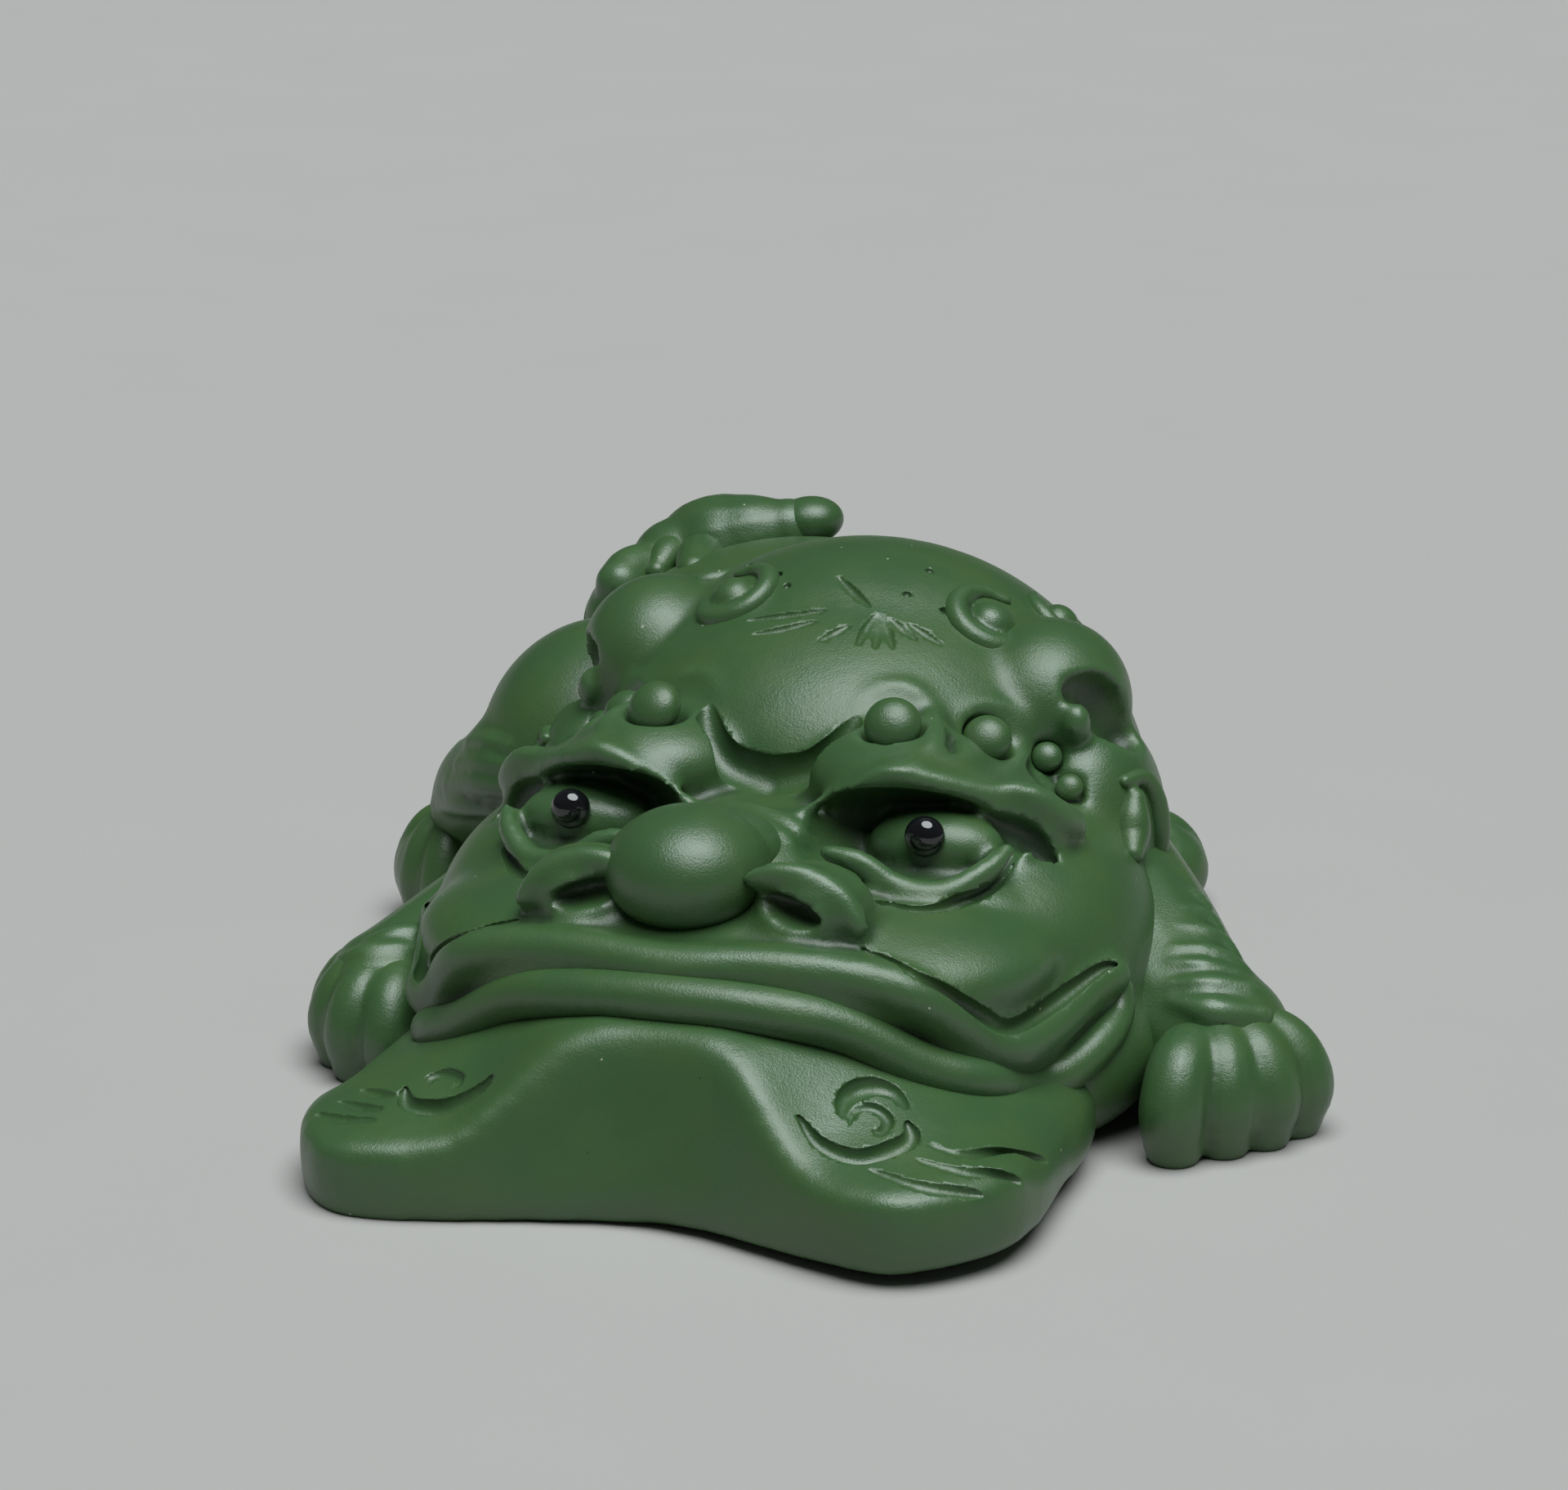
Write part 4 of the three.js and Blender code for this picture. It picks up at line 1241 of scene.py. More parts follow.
    def crown_leaves(self) -> tuple[Stroke, ...]:
        """Leaf-like locks cut into the crown, with the pits where they end."""
        grooves = (
            ((912, 760), (962, 753), (1015, 747)),
            ((918, 777), (958, 770), (1003, 759)),
            ((1000, 786), (1022, 774), (1042, 764)),
            ((1025, 705), (1045, 725), (1067, 745)),
            ((1073, 750), (1060, 770), (1048, 792)),
            ((1076, 750), (1074, 772), (1070, 796)),
            ((1080, 752), (1086, 772), (1093, 796)),
            ((1088, 755), (1105, 770), (1124, 784)),
            ((1110, 762), (1133, 776), (1155, 791)),
        )
        pits = ((1138, 698), (1110, 727), (917, 691), (963, 717))
        long_pits = (((944, 702), (957, 704)), ((1150, 745), (1164, 749)))
        return (
            *(Stroke(run, half_width=0.55, depth=0.4, taper=0.5) for run in grooves),
            *(Stroke((pit,), half_width=0.42, depth=0.4) for pit in pits),
            *(Stroke(run, half_width=0.45, depth=0.5) for run in long_pits),
        )

    def mane_strands(self) -> tuple[Stroke, ...]:
        """Strands combed down the back and sides of the mane, given in the figure's axes.

        Returns:
            The strokes, which fan out round the nape from one side to the other.
        """
        x, _, z = self.nape.centre
        height = self.nape.half[2]
        start, length, breadth, fall = 23.0, 15.0, 26.0, 0.28
        strands = []
        for number in range(-6, 7):
            angle = math.radians(self.strand_angle * number)
            sway = self.strand_sway * (-1) ** number
            run = []
            for share in (0.0, 0.33, 0.66, 1.0):
                across = breadth * (0.5 + 0.5 * share) * math.sin(angle) + sway * math.sin(math.pi * share)
                up = height * math.cos(angle) * (1.0 - fall * share)
                run.append((x + across, start + length * share, z + up))
            strands.append(Stroke(tuple(run), half_width=1.0, depth=-0.6, taper=0.35, axes=Axes.FIGURE))
        return tuple(strands)

    def build(self, shop: Workshop) -> None:
        """Builds the head and what sits on it.

        Args:
            shop: publishes the pieces.
        """
        lump = self.form()
        self.dress(lump)
        self.hollow_out(lump)
        lump.add(self.lid_bed, self.eyeball, self.lower_lid, axes=Axes.HEAD, both_sides=True)
        lump.add(*(Ball(spot, self.ear_bead_half) for spot in self.spots_under(self.ear_bead)))
        lump.knead(voxel=0.46, rounds=2)
        lump.press(*self.brow_creases(), *self.mane_strands(), *self.bridge_wrinkles()).ease(2)
        bow = Lump("bow").add(self.bow_half, axes=Axes.HEAD, both_sides=True)
        lump.carve(bow.knead(voxel=0.25, rounds=2)).ease(1)
        lump.engrave(*self.face_lines(), *self.crown_leaves())
        lump.stand(self.foot_level)
        pairs = [f"{name}_{side.word}" for side in Side for name in ("lower_eyelid", "nostril_wing")]
        shop.publish(lump, "head_shell", "brow_band", "upper_lip", *pairs)
        nose = Lump("nose_bulb").add(self.nose, self.nose_root, axes=Axes.HEAD)
        shop.publish(nose.knead(voxel=0.35, rounds=8))
        lip = Lump("lower_lip").add(self.lower_lip.across(self.skin))
        shop.publish(lip.knead(voxel=0.35, rounds=4))
        for side in Side:
            for number in range(1, 1 + len(self.pellets)):
                shop.publish(self.pellet(side, number))
            shop.publish(self.bead(side), slot=Slot.BLACK_GLAZE)

    def pellet(self, side: Side, number: int) -> Lump:
        """A little flattened ball of clay on the brow.

        Args:
            side: the side of the head.
            number: its number, from 1 at the brow's inner end.

        Returns:
            The pellet, in its place.
        """
        pixel, radius = self.pellets[number - 1]
        lump = Lump(f"brow_pellet_{side.word}_{number}")
        lump.add(Ball((0, 0, 0), (radius, radius, self.pellet_flatness * radius)))
        lump.knead(voxel=0.08 * radius, rounds=3)
        across, along, up = self.pellet_facing
        facing = STANCE.matrix(Axes.HEAD) @ Vector((side.value * across, along, up))
        spot = self.spots_under(pixel)[side is Side.RIGHT]
        return lump.place(seat_matrix(Vector(spot) + self.pellet_lift * radius * facing, facing))

    def bead(self, side: Side) -> Lump:
        """A pupil's glazed bead.

        Args:
            side: the side of the head.

        Returns:
            The bead, in its place.
        """
        x, y, z = self.pupil
        seat = STANCE.matrix(Axes.HEAD) @ Vector((side.value * x, y, z))
        lump = Lump(f"pupil_bead_{side.word}").add(Ball((0, 0, 0), self.pupil_shape))
        lump.knead(voxel=0.09, rounds=3)
        return lump.place(Matrix.Translation(seat) @ Matrix.Scale(self.pupil_radius, 4))


@dataclass
class Beard:
    """The chin and its two flared lobes, with a curl and combed hair cut into each."""

    outline: tuple[Spot, ...] = (
        (-25.4, -44.3), (-22.5, -45.3), (-18.6, -44.8), (-13.7, -43.5), (-8.2, -41.9), (-1.4, -40.3),
        (4.7, -40.6), (10.7, -42.3), (15.7, -43.7), (19.9, -44.7), (23.6, -44), (27.1, -40.8),
        (29.4, -37.2), (30.1, -33), (30, -28), (29.8, -24), (29.8, -20.5), (29.6, -17), (26, -12), (0, -10),
        (-26, -12), (-29.6, -17), (-29.8, -20.5), (-29.8, -24), (-30, -28), (-30, -33), (-29.5, -37.2),
        (-27.9, -41.2),
    )
    steps_per_knot: int = 12
    rim: float = 7.0
    chin: float = 15.4
    half_width: float = 29.8
    skirt: float = 4.4
    skirt_slope: float = 1.2
    skirt_rows: Spot = (-37.0, -30.0)
    chin_flat: float = 4.5
    chin_half: float = 16.5
    chin_rise: float = 4.0
    lobe_rise: float = 12.0
    chin_lean: float = 4.0
    chin_lean_power: float = 1.3
    chin_lean_depth: float = 14.0
    lip_x: tuple[float, ...] = (0, 8.5, 14.2, 19.6, 23.7, 26.6)
    lip_z: tuple[float, ...] = (15.6, 14.8, 13.4, 10.4, 8.7, 7.6)

    def curls(self) -> tuple[Stroke, ...]:
        """The spiral curl and the combed strokes of each lobe."""
        left_cup = ((976, 1362), (1003, 1398), (1053, 1415), (1099, 1402), (1116, 1388), (1109, 1369))
        left_wedge = ((1029, 1369), (1036, 1342), (1063, 1329), (1092, 1335), (1112, 1359))
        left_eye = ((1039, 1379), (1046, 1359), (1069, 1355), (1086, 1369), (1079, 1385), (1066, 1382))
        right_cup = ((495, 1328), (499, 1349), (541, 1354), (588, 1331), (603, 1314))
        right_eye = ((524, 1330), (527, 1318), (545, 1313), (562, 1319), (556, 1333))
        combed = (
            ((1133, 1400), (1190, 1412), (1283, 1421)),
            ((1118, 1418), (1180, 1433), (1251, 1447)),
            ((1060, 1430), (1130, 1452), (1205, 1463)),
            ((440, 1333), (462, 1338), (485, 1341)),
            ((412, 1347), (440, 1354), (470, 1357)),
            ((384, 1363), (420, 1369), (463, 1370)),
        )
        return (
            Stroke(left_cup, half_width=1.0, depth=1.1, taper=0.4),
            Stroke(left_wedge, half_width=1.0, depth=0.9, taper=0.4),
            Stroke(left_eye, half_width=0.55, depth=0.5, taper=0.4),
            Stroke(right_cup, half_width=1.0, depth=1.1, taper=0.4),
            Stroke(right_eye, half_width=0.6, depth=0.5, taper=0.4),
            *(Stroke(run, half_width=0.7, depth=0.5, taper=0.5) for run in combed),
        )

    def build(self, shop: Workshop) -> None:
        """Builds the beard.

        Args:
            shop: publishes the piece.
        """
        knots = np.array((*self.outline, self.outline[0]), float)
        ring = smooth_run(knots, self.steps_per_knot * len(knots))[:-1]
        work = bmesh.new()
        base = work.faces.new([work.verts.new((x, y, 0.0)) for x, y in ring])
        up = bmesh.ops.extrude_face_region(work, geom=[base])
        moved = [item for item in up["geom"] if isinstance(item, bmesh.types.BMVert)]
        bmesh.ops.translate(work, verts=moved, vec=(0.0, 0.0, self.rim))
        bmesh.ops.transform(work, matrix=STANCE.matrix(Axes.HEAD), verts=work.verts[:])
        bmesh.ops.recalc_face_normals(work, faces=work.faces[:])
        lump = Lump("chin_beard")
        work.to_mesh(lump.mesh)
        work.free()
        lump.knead(voxel=0.5, rounds=8)
        self.raise_chin(lump, ring[: len(ring) // 2])
        lump.knead(voxel=0.8, rounds=22).knead(voxel=0.4, rounds=2)
        lump.engrave(*self.curls()).stand()
        shop.publish(lump, "chin_beard", *(f"beard_curl_{side.word}" for side in Side))

    def raise_chin(self, lump: Lump, front_edge: np.ndarray) -> None:
        """Pulls the slab's middle up to the lip, so that the lobes flow down from the chin.

        Args:
            lump: the slab.
            front_edge: its front outline in the head's axes, one point a row.
        """
        turn = np.array(STANCE.matrix(Axes.HEAD))[:3, :3]
        local = lump.spots() @ turn
        x, y, z = local.T
        outward = np.abs(x)
        order = np.argsort(front_edge[:, 0])
        inward = y - np.interp(x, front_edge[order, 0], front_edge[order, 1])
        level = np.clip(z / self.rim, 0.0, 1.0)
        middle = 1.0 - soft_step(outward, self.chin_flat, self.chin_half)
        crest = self.rim + (self.chin - self.rim) * middle
        lip = np.maximum(np.interp(outward, self.lip_x, self.lip_z), crest)
        behind = soft_step(inward, 0.0, self.chin_rise + self.lobe_rise * (1.0 - middle))
        top = crest + (lip - crest) * behind
        spare = np.maximum(self.half_width - outward, 0.0)
        sloped = np.minimum(top, self.skirt + self.skirt_slope * spare)
        top = top + (sloped - top) * soft_step(y, *self.skirt_rows)
        lean = self.chin_lean * np.clip(1.0 - inward / self.chin_lean_depth, 0.0, 1.0)
        local[:, 2] = np.where(z > 0, level * top, z)
        local[:, 1] = y + middle * lean * level**self.chin_lean_power
        lump.move_to(local @ turn.T)


@dataclass
class Curls:
    """The rolled curls of the mane, a bead with a coil wound round it each, and the side locks."""

    mane: tuple[tuple[Point, float], ...] = (((13.4, 10.5, 36.5), 4.0), ((17.6, 19.5, 34), 3.5))
    mane_middle: float = 2.0
    mane_sink: float = 0.3
    mane_turn: float = 70.0
    bead_half: Point = (0.5, 0.5, 0.42)
    wound: Spot = (0.95, 0.62)
    wound_start: float = 20.0
    wound_sweep: float = 270.0
    wound_steps: int = 9
    girth_at: tuple[float, ...] = (0, 0.25, 0.7, 1)
    girth: tuple[float, ...] = (0.12, 0.24, 0.3, 0.26)
    side_locks: tuple[LaidCoil, ...] = (
        LaidCoil(((1388, 978), (1386, 1000), (1385, 1022), (1386, 1044)), (1.0, 1.5, 1.6, 1.0)),
        LaidCoil(((1376, 956), (1398, 952), (1412, 975), (1418, 1010), (1418, 1045)), (0.6, 0.9, 1.1, 0.8)),
    )

    def build(self, shop: Workshop, skin: BVHTree) -> None:
        """Builds the curls.

        Args:
            shop: publishes the pieces.
            skin: the head's skin.
        """
        for side in Side:
            for number, ((x, y, z), radius) in enumerate(self.mane, 1):
                seat = (self.mane_middle + side.value * (x - self.mane_middle), y, z)
                places, facings = trace((seat,), skin, Axes.FIGURE)
                sunk = places[0] - self.mane_sink * facings[0]
                lump = self.scroll(f"mane_curl_{side.word}_{number}", radius, side)
                shop.publish(lump.place(seat_matrix(sunk, facings[0], self.mane_turn * number)))
            lock = Lump(f"side_curl_{side.word}")
            lock.add(*(coil.on(skin, mirror=side is Side.RIGHT) for coil in self.side_locks))
            shop.publish(lock.knead(voxel=0.22, rounds=3))

    def scroll(self, name: str, radius: float, side: Side) -> Lump:
        """A bead of clay with a coil wound round it.

        Args:
            name: the piece's name.
            radius: the scroll's radius.
            side: the side that it winds to.

        Returns:
            The scroll, flat on the origin.
        """
        bead = Ball((0, 0, 0), tuple(part * radius for part in self.bead_half))
        outer, inner = (part * radius for part in self.wound)
        end = self.wound_start + self.wound_sweep * side.value
        spots = spiral_run(outer, inner, self.wound_start, end, self.wound_steps)
        sizes = np.interp(np.linspace(0, 1, self.wound_steps), self.girth_at, self.girth) * radius
        coil = Coil(tuple((x, y, 0.0) for x, y in spots), tuple(sizes))
        return Lump(name).add(bead, coil).knead(voxel=0.075 * radius, rounds=2)


@dataclass
class Body:
    """The humped back and the rump, hollow, on a flat slab with a vent."""

    hump: Ball = Ball((1, 17, 15), (24, 22, 24.5))
    rump: Ball = Ball((0, 0, 15), (23, 22, 19))
    wall: float = 4.5
    slab: float = 3.5
    seam: float = 0.2
    over_all: float = 90.0
    vent: Ball = Ball((1.0, 17.0, 1.7), (4.5, 4.5, 40.0))

    def build(self, shop: Workshop) -> None:
        """Builds the body.

        Args:
            shop: publishes the pieces.
        """
        lump = Lump("torso_shell").add(self.hump).add(self.rump, axes=Axes.HIPS)
        base = lump.knead(voxel=0.7, rounds=30).copy("belly_slab")
        inside = Lump("hollow").add(self.hump.grown(-self.wall))
        inside.add(self.rump.grown(-self.wall), axes=Axes.HIPS)
        lump.carve(inside.knead(voxel=1.2, rounds=2)).stand(self.slab + self.seam)
        shop.publish(lump)
        base.stand().carve(Lump("above").add(Board(low=self.slab, high=self.over_all)))
        base.carve(Lump("vent").add(self.vent).knead(voxel=0.5, rounds=2))
        shop.publish(base)


@dataclass(frozen=True)
class Paw:
    """A paw: where its toes meet the table, where its wrist is, its height and its toes' radius.

    A toe is a coil from its tip over the knuckle. Its knots lie behind the tip by the setbacks, and
    its girths are shares of the toe's radius. The heights of the first three knots are shares of
    that radius, of the paw's height and of the knuckle's, and the last knot drops below the knuckle.
    """

    contacts: tuple[Spot, ...]
    wrist: Spot
    top: float
    toe: float
    tip_gap: float = 0.5
    setbacks: tuple[float, ...] = (0.0, -0.5, 0.9, 3.4, 6.0)
    girths: tuple[float, ...] = (0.92, 1.04, 1.0, 0.96, 0.9)
    tip_height: float = 0.6
    front_height: float = 0.42
    bend_height: float = 0.9
    heel_drop: float = 0.8
    pad_half: float = 5.2
    pad_middle: float = 0.42
    pad_height: float = 0.48

    def form(self, name: str) -> Lump:
        """Builds the toes and the pad behind them.

        Args:
            name: the piece's name.

        Returns:
            The lump, standing on the table.
        """
        lump = Lump(name)
        wrist = Vector((*self.wrist, 0.0))
        feet = [Vector((*spot, 0.0)) for spot in self.contacts]
        knuckle = self.top - self.toe
        heights = (
            self.tip_height * self.toe,
            self.front_height * self.top,
            self.bend_height * knuckle,
            knuckle,
            knuckle - self.heel_drop,
        )
        for foot in feet:
            back = (wrist - foot).normalized()
            tip = foot + back * (self.toe + self.tip_gap)
            points = [tip + back * far + Vector((0, 0, up)) for far, up in zip(self.setbacks, heights)]
            lump.add(Coil(tuple(map(tuple, points)), tuple(self.toe * girth for girth in self.girths)))
        middle = (wrist + sum(feet, Vector()) / len(feet)) / 2
        pad = (self.pad_half, self.pad_half, self.pad_height * self.top)
        lump.add(Ball((middle.x, middle.y, self.pad_middle * self.top), pad))
        return lump.knead(voxel=0.36, rounds=3).stand()


@dataclass(frozen=True)
class Flank:
    """The legs of one side, lying along the body, with their paws, rolls of combed hair and a swirl."""

    side: Side
    front_leg: Coil
    front_paw: Paw
    haunch: tuple[Ball | Coil, ...]
    hind_paw: Paw
    swirl_middle: Point
    front_rolls: tuple[HairRoll, ...]
    hind_rolls: tuple[HairRoll, ...] = ()
    roll_shape: tuple[float, ...] = (0.6, 1.0, 1.0, 0.7)
    roll_sink: float = 0.35
    swirl_reach: Spot = (5.4, 1.56)
    swirl_arc: Spot = (40.0, 400.0)
    swirl_steps: int = 13
    strands: int = 4
    strand_drop: float = 3.6
    strand_step: float = 1.5
    strand_start: Point = (1.0, 5.0, 1.0)
    strand_end: Point = (2.0, 11.0, -4.0)
    strand_bend: Point = (0.0, 0.5, 1.2)
    leg_seam: float = 0.2

    def swirl(self) -> tuple[Stroke, ...]:
        """A comma-shaped swirl on the outer face of the haunch, with combed strands below it.

        Returns:
            The strokes, in the figure's axes.
        """
        sign = self.side.value
        x, y, z = self.swirl_middle
        turns = spiral_run(*self.swirl_reach, *self.swirl_arc, self.swirl_steps)
        ring = tuple((x, y + u, z + v) for u, v in turns)
        strokes = [Stroke(ring, half_width=0.9, depth=-0.7, axes=Axes.FIGURE)]
        (start_x, start_y, start_z), (end_x, end_y, end_z) = self.strand_start, self.strand_end
        for number in range(self.strands):
            drop = self.strand_drop * number
            start = (x + sign * start_x, y + start_y + self.strand_step * number, z + start_z - drop)
            end = (x + sign * end_x, y + end_y, z + end_z - drop)
            bend = tuple((a + b) / 2 + push for a, b, push in zip(start, end, self.strand_bend))
            run = (start, bend, end)
            strokes.append(Stroke(run, half_width=0.8, depth=-0.6, taper=0.4, axes=Axes.FIGURE))
        return tuple(strokes)

    def comb(self, lump: Lump, rolls: Sequence[HairRoll]) -> Lump:
        """Lays rolls of combed hair across a leg.

        Args:
            lump: the leg.
            rolls: the rolls.

        Returns:
            The leg with its rolls.
        """
        skin = lump.tree()
        for run, radius in rolls:
            radii = tuple(part * radius for part in self.roll_shape)
            lump.add(LaidCoil(run, radii, self.roll_sink * radius).on(skin))
        return lump.knead(voxel=0.4, rounds=2)

    def build(self, shop: Workshop) -> None:
        """Builds the legs and paws.

        Args:
            shop: publishes the pieces.
        """
        word = self.side.word
        leg = Lump(f"front_leg_{word}").add(self.front_leg).knead(voxel=0.5, rounds=5)
        shop.publish(self.comb(leg, self.front_rolls).stand(self.leg_seam))
        shop.publish(self.front_paw.form(f"front_paw_{word}"))
        thigh = Lump(f"hind_leg_{word}").add(*self.haunch).knead(voxel=0.5, rounds=8)
        shop.publish(self.comb(thigh, self.hind_rolls).press(*self.swirl()).stand())
        shop.publish(self.hind_paw.form(f"hind_paw_{word}"))


FLANKS = (
    Flank(
        Side.LEFT,
        front_leg=Coil(((19, 14, 12), (25, 5, 10.5), (30.5, -2, 8), (35, -6, 6.5)), (9.5, 8.5, 7.3, 6.3)),
        front_paw=Paw(((33, -19), (37.8, -16.2), (42, -12.8), (44.8, -8.2)), (34.5, -5.5), 10.4, 2.7),
        haunch=(
            Ball((10.5, 35, 13.5), (10.5, 13, 15.5)),
            Coil(((13, 40, 9), (18, 43, 6)), (6.5, 4.5)),
        ),
        hind_paw=Paw(((24.8, 38.5), (26.4, 42.5), (25.8, 46.6)), (17.5, 42.5), 9.2, 2.4),
        swirl_middle=(21.5, 34.0, 18.0),
        front_rolls=(
            (((1437, 1226), (1485, 1236), (1545, 1240), (1594, 1244)), 1.5),
            (((1433, 1203), (1478, 1203), (1530, 1206), (1566, 1218)), 1.1),
            (((1433, 1178), (1470, 1180), (1515, 1188), (1546, 1200)), 0.9),
            (((1437, 1158), (1470, 1162), (1500, 1170), (1526, 1186)), 0.9),
            (((1445, 1130), (1475, 1138), (1500, 1152), (1516, 1170)), 0.8),
            (((1450, 1108), (1468, 1114), (1486, 1126), (1500, 1146)), 0.7),
            (((1450, 1086), (1464, 1094), (1476, 1106), (1486, 1124)), 0.6),
        ),
    ),
    Flank(
        Side.RIGHT,
        front_leg=Coil(
            ((-24, 8, 9.5), (-28.5, 1, 8), (-32.5, -5, 6.4), (-34.5, -8, 5.6)), (7.6, 6.4, 5.6, 5.3)
        ),
        front_paw=Paw(((-41, -9), (-39.6, -13.2), (-36.4, -16.6), (-32, -17.8)), (-32.5, -6), 10.0, 2.4),
        haunch=(
            Ball((-24, 24, 17), (11.5, 13, 12.3)),
            Ball((-25, 24, 7), (9.5, 11, 9)),
            Coil(((-30.5, 20, 16.4), (-35, 23.2, 13.2), (-38.2, 27.2, 8.5)), (6, 5, 3.6)),
        ),
        hind_paw=Paw(((-44.6, 25.2), (-42.6, 21.6), (-39.4, 19.2)), (-36.5, 30), 10.6, 2.1),
        swirl_middle=(-36.0, 25.0, 20.0),
        front_rolls=(
            (((402, 1200), (440, 1192), (480, 1186), (510, 1184)), 1.6),
            (((420, 1172), (450, 1168), (484, 1164), (512, 1162)), 1.4),
            (((450, 1152), (476, 1146), (500, 1142), (520, 1142)), 1.2),
        ),
        hind_rolls=(
            (((548, 912), (572, 906), (600, 908), (622, 914)), 1.2),
            (((530, 944), (560, 934), (595, 934), (628, 940)), 1.4),
            (((510, 972), (545, 960), (588, 958), (628, 964)), 1.4),
            (((496, 998), (530, 986), (566, 984), (602, 990)), 1.4),
        ),
    ),
)


@dataclass
class Tail:
    """The tail, swept up over the rump, with its tip and two locks."""

    plume: Coil = Coil(
        (
            (-19, 56.0, 5), (-22.5, 55.5, 15), (-22.5, 52, 23.5), (-20, 47, 29.0), (-16.5, 46, 31.2),
            (-13, 46, 32.4),
        ),
        (5.0, 6.0, 6.2, 6.0, 4.6, 3.0),
    )
    shoulder: Ball = Ball((-23, 45, 28.6), (4.6, 4.6, 4.6))
    root: Ball = Ball((-26, 40, 24.5), (4.6, 5.5, 5.2))
    side_lock: Coil = Coil(((-24.5, 43, 28.6), (-26.2, 40.5, 29.0), (-26.8, 38.2, 28.6)), (3.0, 2.6, 2.3))
    tip: Ball = Ball((-11.2, 46.4, 33.4), (3.2, 2.8, 2.2), (0, -8, 0))
    locks: tuple[Coil, ...] = (
        Coil(((-22.7, 45.5, 29.8), (-23.2, 42, 30.5), (-23.6, 39.0, 29.8)), (2.2, 1.8, 1.0)),
        Coil(((-20.3, 44.5, 29.8), (-19.9, 40.5, 30.7), (-19.4, 36.3, 30.8)), (2.4, 2.3, 1.6)),
    )
    strands: tuple[tuple[Point, ...], ...] = (
        ((-17.5, 50.5, 33.5), (-22, 55.5, 29), (-23, 60, 20), (-21, 61, 11)),
        ((-20, 47.5, 34), (-26, 53, 29), (-28.5, 57, 20), (-25.5, 58.5, 11)),
        ((-14.5, 51, 31), (-17, 56, 27.5), (-18, 60, 20), (-17, 60.5, 12)),
        ((-24, 45, 32), (-29, 50, 26), (-30, 53, 18), (-27, 55, 10)),
    )
    whorl_reach: Spot = (4.0, 0.64)
    whorl_arc: Spot = (30.0, 478.0)
    whorl_steps: int = 15
    whorl_outward: float = 6.0

    def whorl(self) -> Stroke:
        """The spiral cut into the tail's root, on the outer side."""
        x, y, z = self.root.centre
        turns = spiral_run(*self.whorl_reach, *self.whorl_arc, self.whorl_steps)
        run = tuple((x - self.whorl_outward, y + u, z + v) for u, v in turns)
        return Stroke(run, half_width=0.55, depth=0.6, taper=0.2, axes=Axes.FIGURE)

    def build(self, shop: Workshop) -> None:
        """Builds the tail.

        Args:
            shop: publishes the pieces.
        """
        plume = Lump("tail_plume").add(self.plume, self.shoulder, self.root, self.side_lock)
        plume.knead(voxel=0.4, rounds=6)
        for_strand = {"half_width": 1.1, "depth": -0.8, "taper": 0.3, "axes": Axes.FIGURE}
        plume.press(*(Stroke(run, **for_strand) for run in self.strands))
        shop.publish(plume.engrave(self.whorl()).stand())
        shop.publish(Lump("tail_tip").add(self.tip).knead(voxel=0.22, rounds=3))
        for number, coil in enumerate(self.locks, 1):
            shop.publish(Lump(f"tail_curl_{number}").add(coil).knead(voxel=0.2, rounds=3))


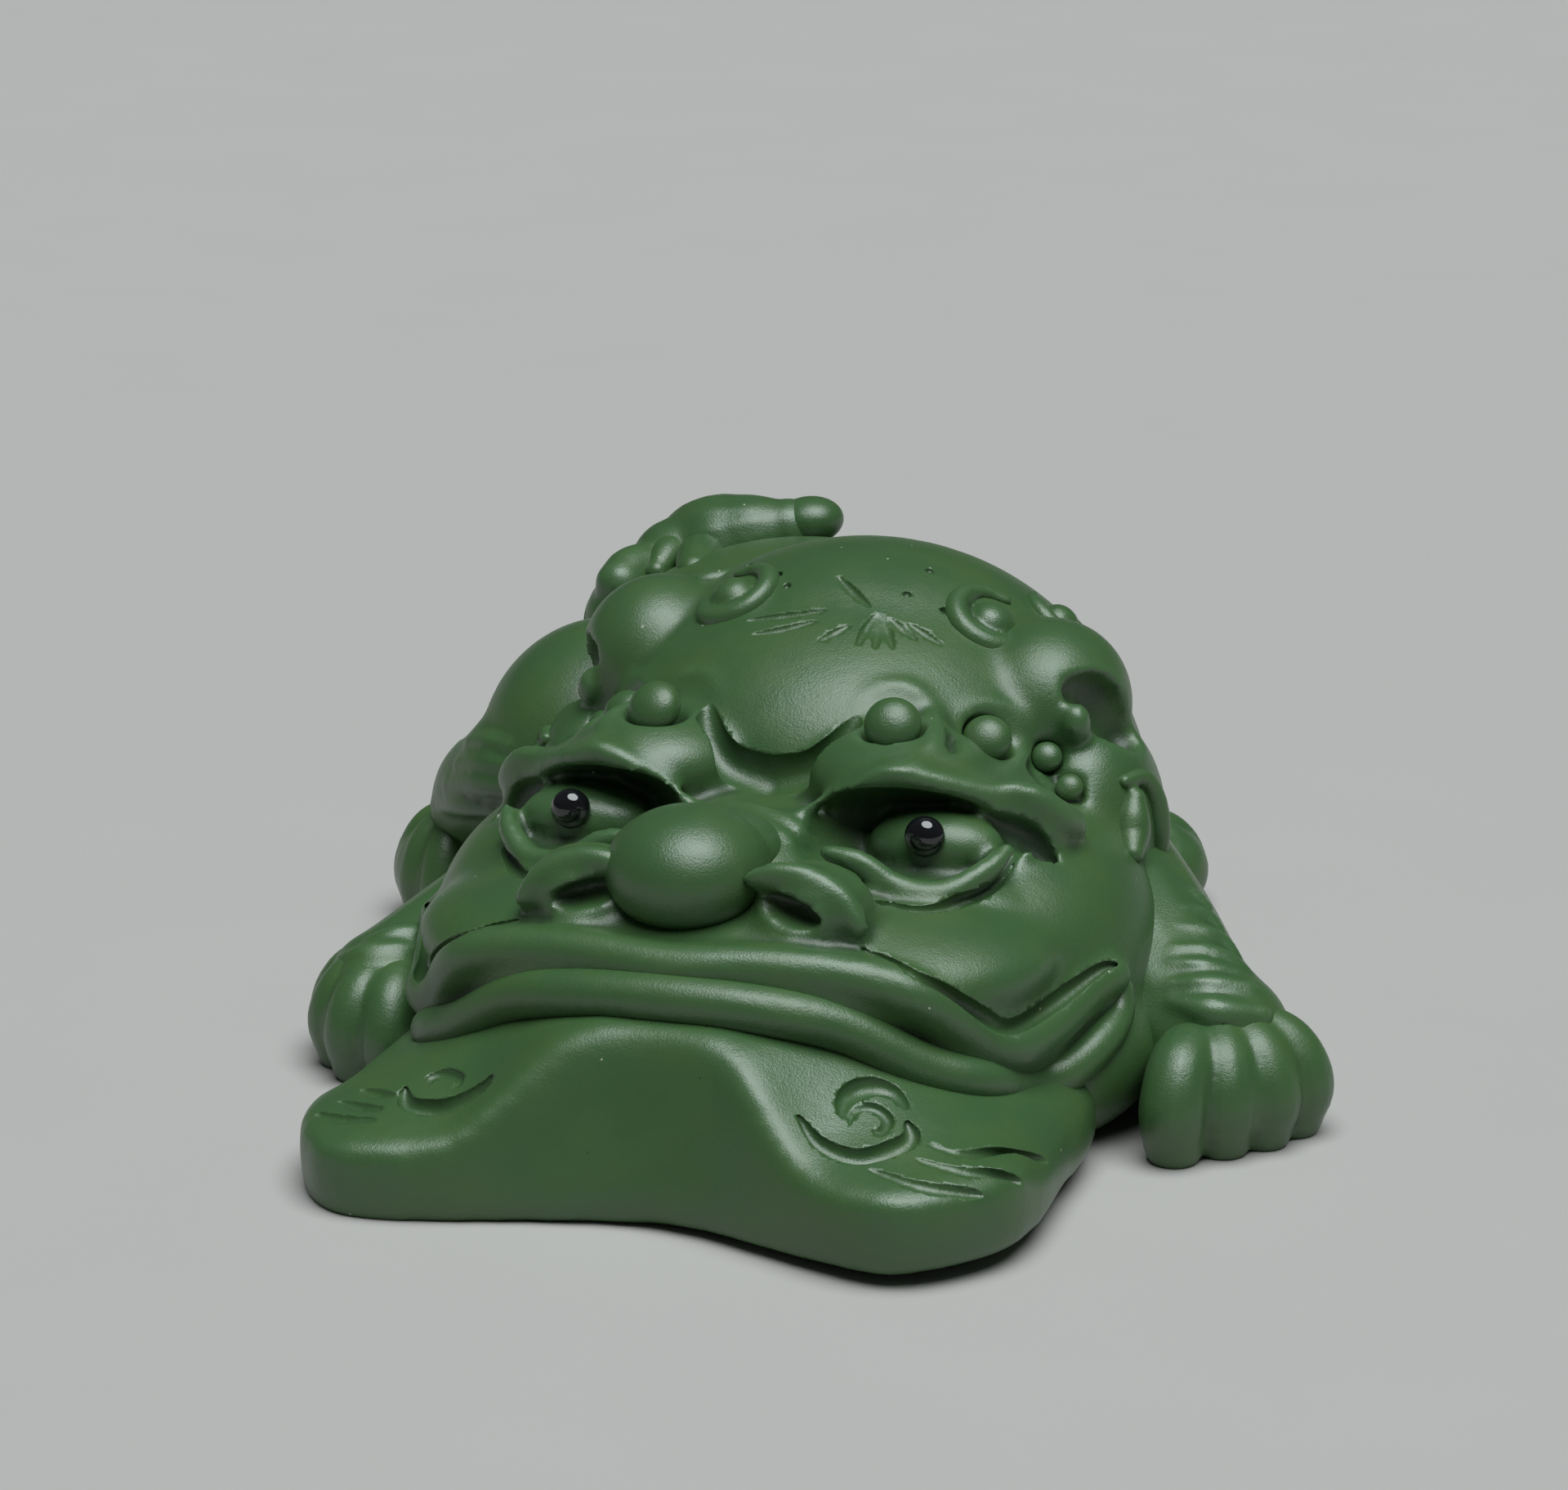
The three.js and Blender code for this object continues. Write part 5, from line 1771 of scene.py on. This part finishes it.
@dataclass
class Table:
    """The pale table top under the figure and the soft light over it."""

    half_width: float = 3.0
    colour: Colour = (0.45, 0.437, 0.42, 1.0)
    cloud_shade: float = 0.96
    clouds_per_metre: float = 40.0
    dullness: float = 0.7
    lamp_place: Point = (0.13, -0.16, 0.85)
    lamp_aim: Point = (0.0, -0.01, 0.02)
    lamp_spread: float = math.radians(50.0)
    lamp_strength: float = 3.5
    lamp_colour: Point = (0.93, 0.985, 1.0)
    sky_colour: Colour = (0.88, 0.94, 1.0, 1.0)
    sky_strength: float = 0.05

    def build(self) -> None:
        """Builds the table and the lights."""
        work = bmesh.new()
        bmesh.ops.create_grid(work, x_segments=2, y_segments=2, size=self.half_width)
        mesh = bpy.data.meshes.new("table")
        work.to_mesh(mesh)
        work.free()
        made, bench, shader = new_material("table")
        place = bench.node("ShaderNodeTexCoord").outputs["Object"]
        cloud = bench.node("ShaderNodeTexNoise", Vector=place, Scale=self.clouds_per_metre, Detail=4.0)
        darker = tuple(self.cloud_shade * part for part in self.colour[:3]) + (1.0,)
        bench.feed(shader.inputs["Base Color"], bench.blend(cloud.outputs[0], darker, self.colour))
        shader.inputs["Roughness"].default_value = self.dullness
        mesh.materials.append(made)
        table = bpy.data.objects.new("table", mesh)
        bpy.context.scene.collection.objects.link(table)
        self.lights()

    def lights(self) -> None:
        """Hangs a soft light over the front of the figure and sets a dim pale sky."""
        lamp = bpy.data.lights.new("overhead", "SUN")
        lamp.angle = self.lamp_spread
        lamp.energy = self.lamp_strength
        lamp.color = self.lamp_colour
        holder = bpy.data.objects.new("overhead", lamp)
        holder.location = self.lamp_place
        aim = Vector(self.lamp_aim) - Vector(self.lamp_place)
        holder.rotation_euler = aim.to_track_quat("-Z", "Y").to_euler()
        bpy.context.scene.collection.objects.link(holder)
        world = bpy.data.worlds.new("sky")
        bpy.context.scene.world = world
        world.use_nodes = True
        sky = world.node_tree.nodes["Background"]
        sky.inputs["Color"].default_value = self.sky_colour
        sky.inputs["Strength"].default_value = self.sky_strength


def main() -> None:
    """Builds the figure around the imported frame."""
    logging.basicConfig(level=logging.INFO, format="%(relativeCreated)d %(name)s: %(message)s")
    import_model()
    bpy.context.scene.view_settings.view_transform = "Standard"
    shop = Workshop()
    log.info("figure shift %s", tuple(round(part, 3) for part in shop.shift))
    VIEW.set_camera(shop.shift)
    Table().build()
    head = Head()
    head.build(shop)
    Beard().build(shop)
    Curls().build(shop, head.skin)
    Body().build(shop)
    for flank in FLANKS:
        flank.build(shop)
    Tail().build(shop)


if __name__ == "__main__":
    main()
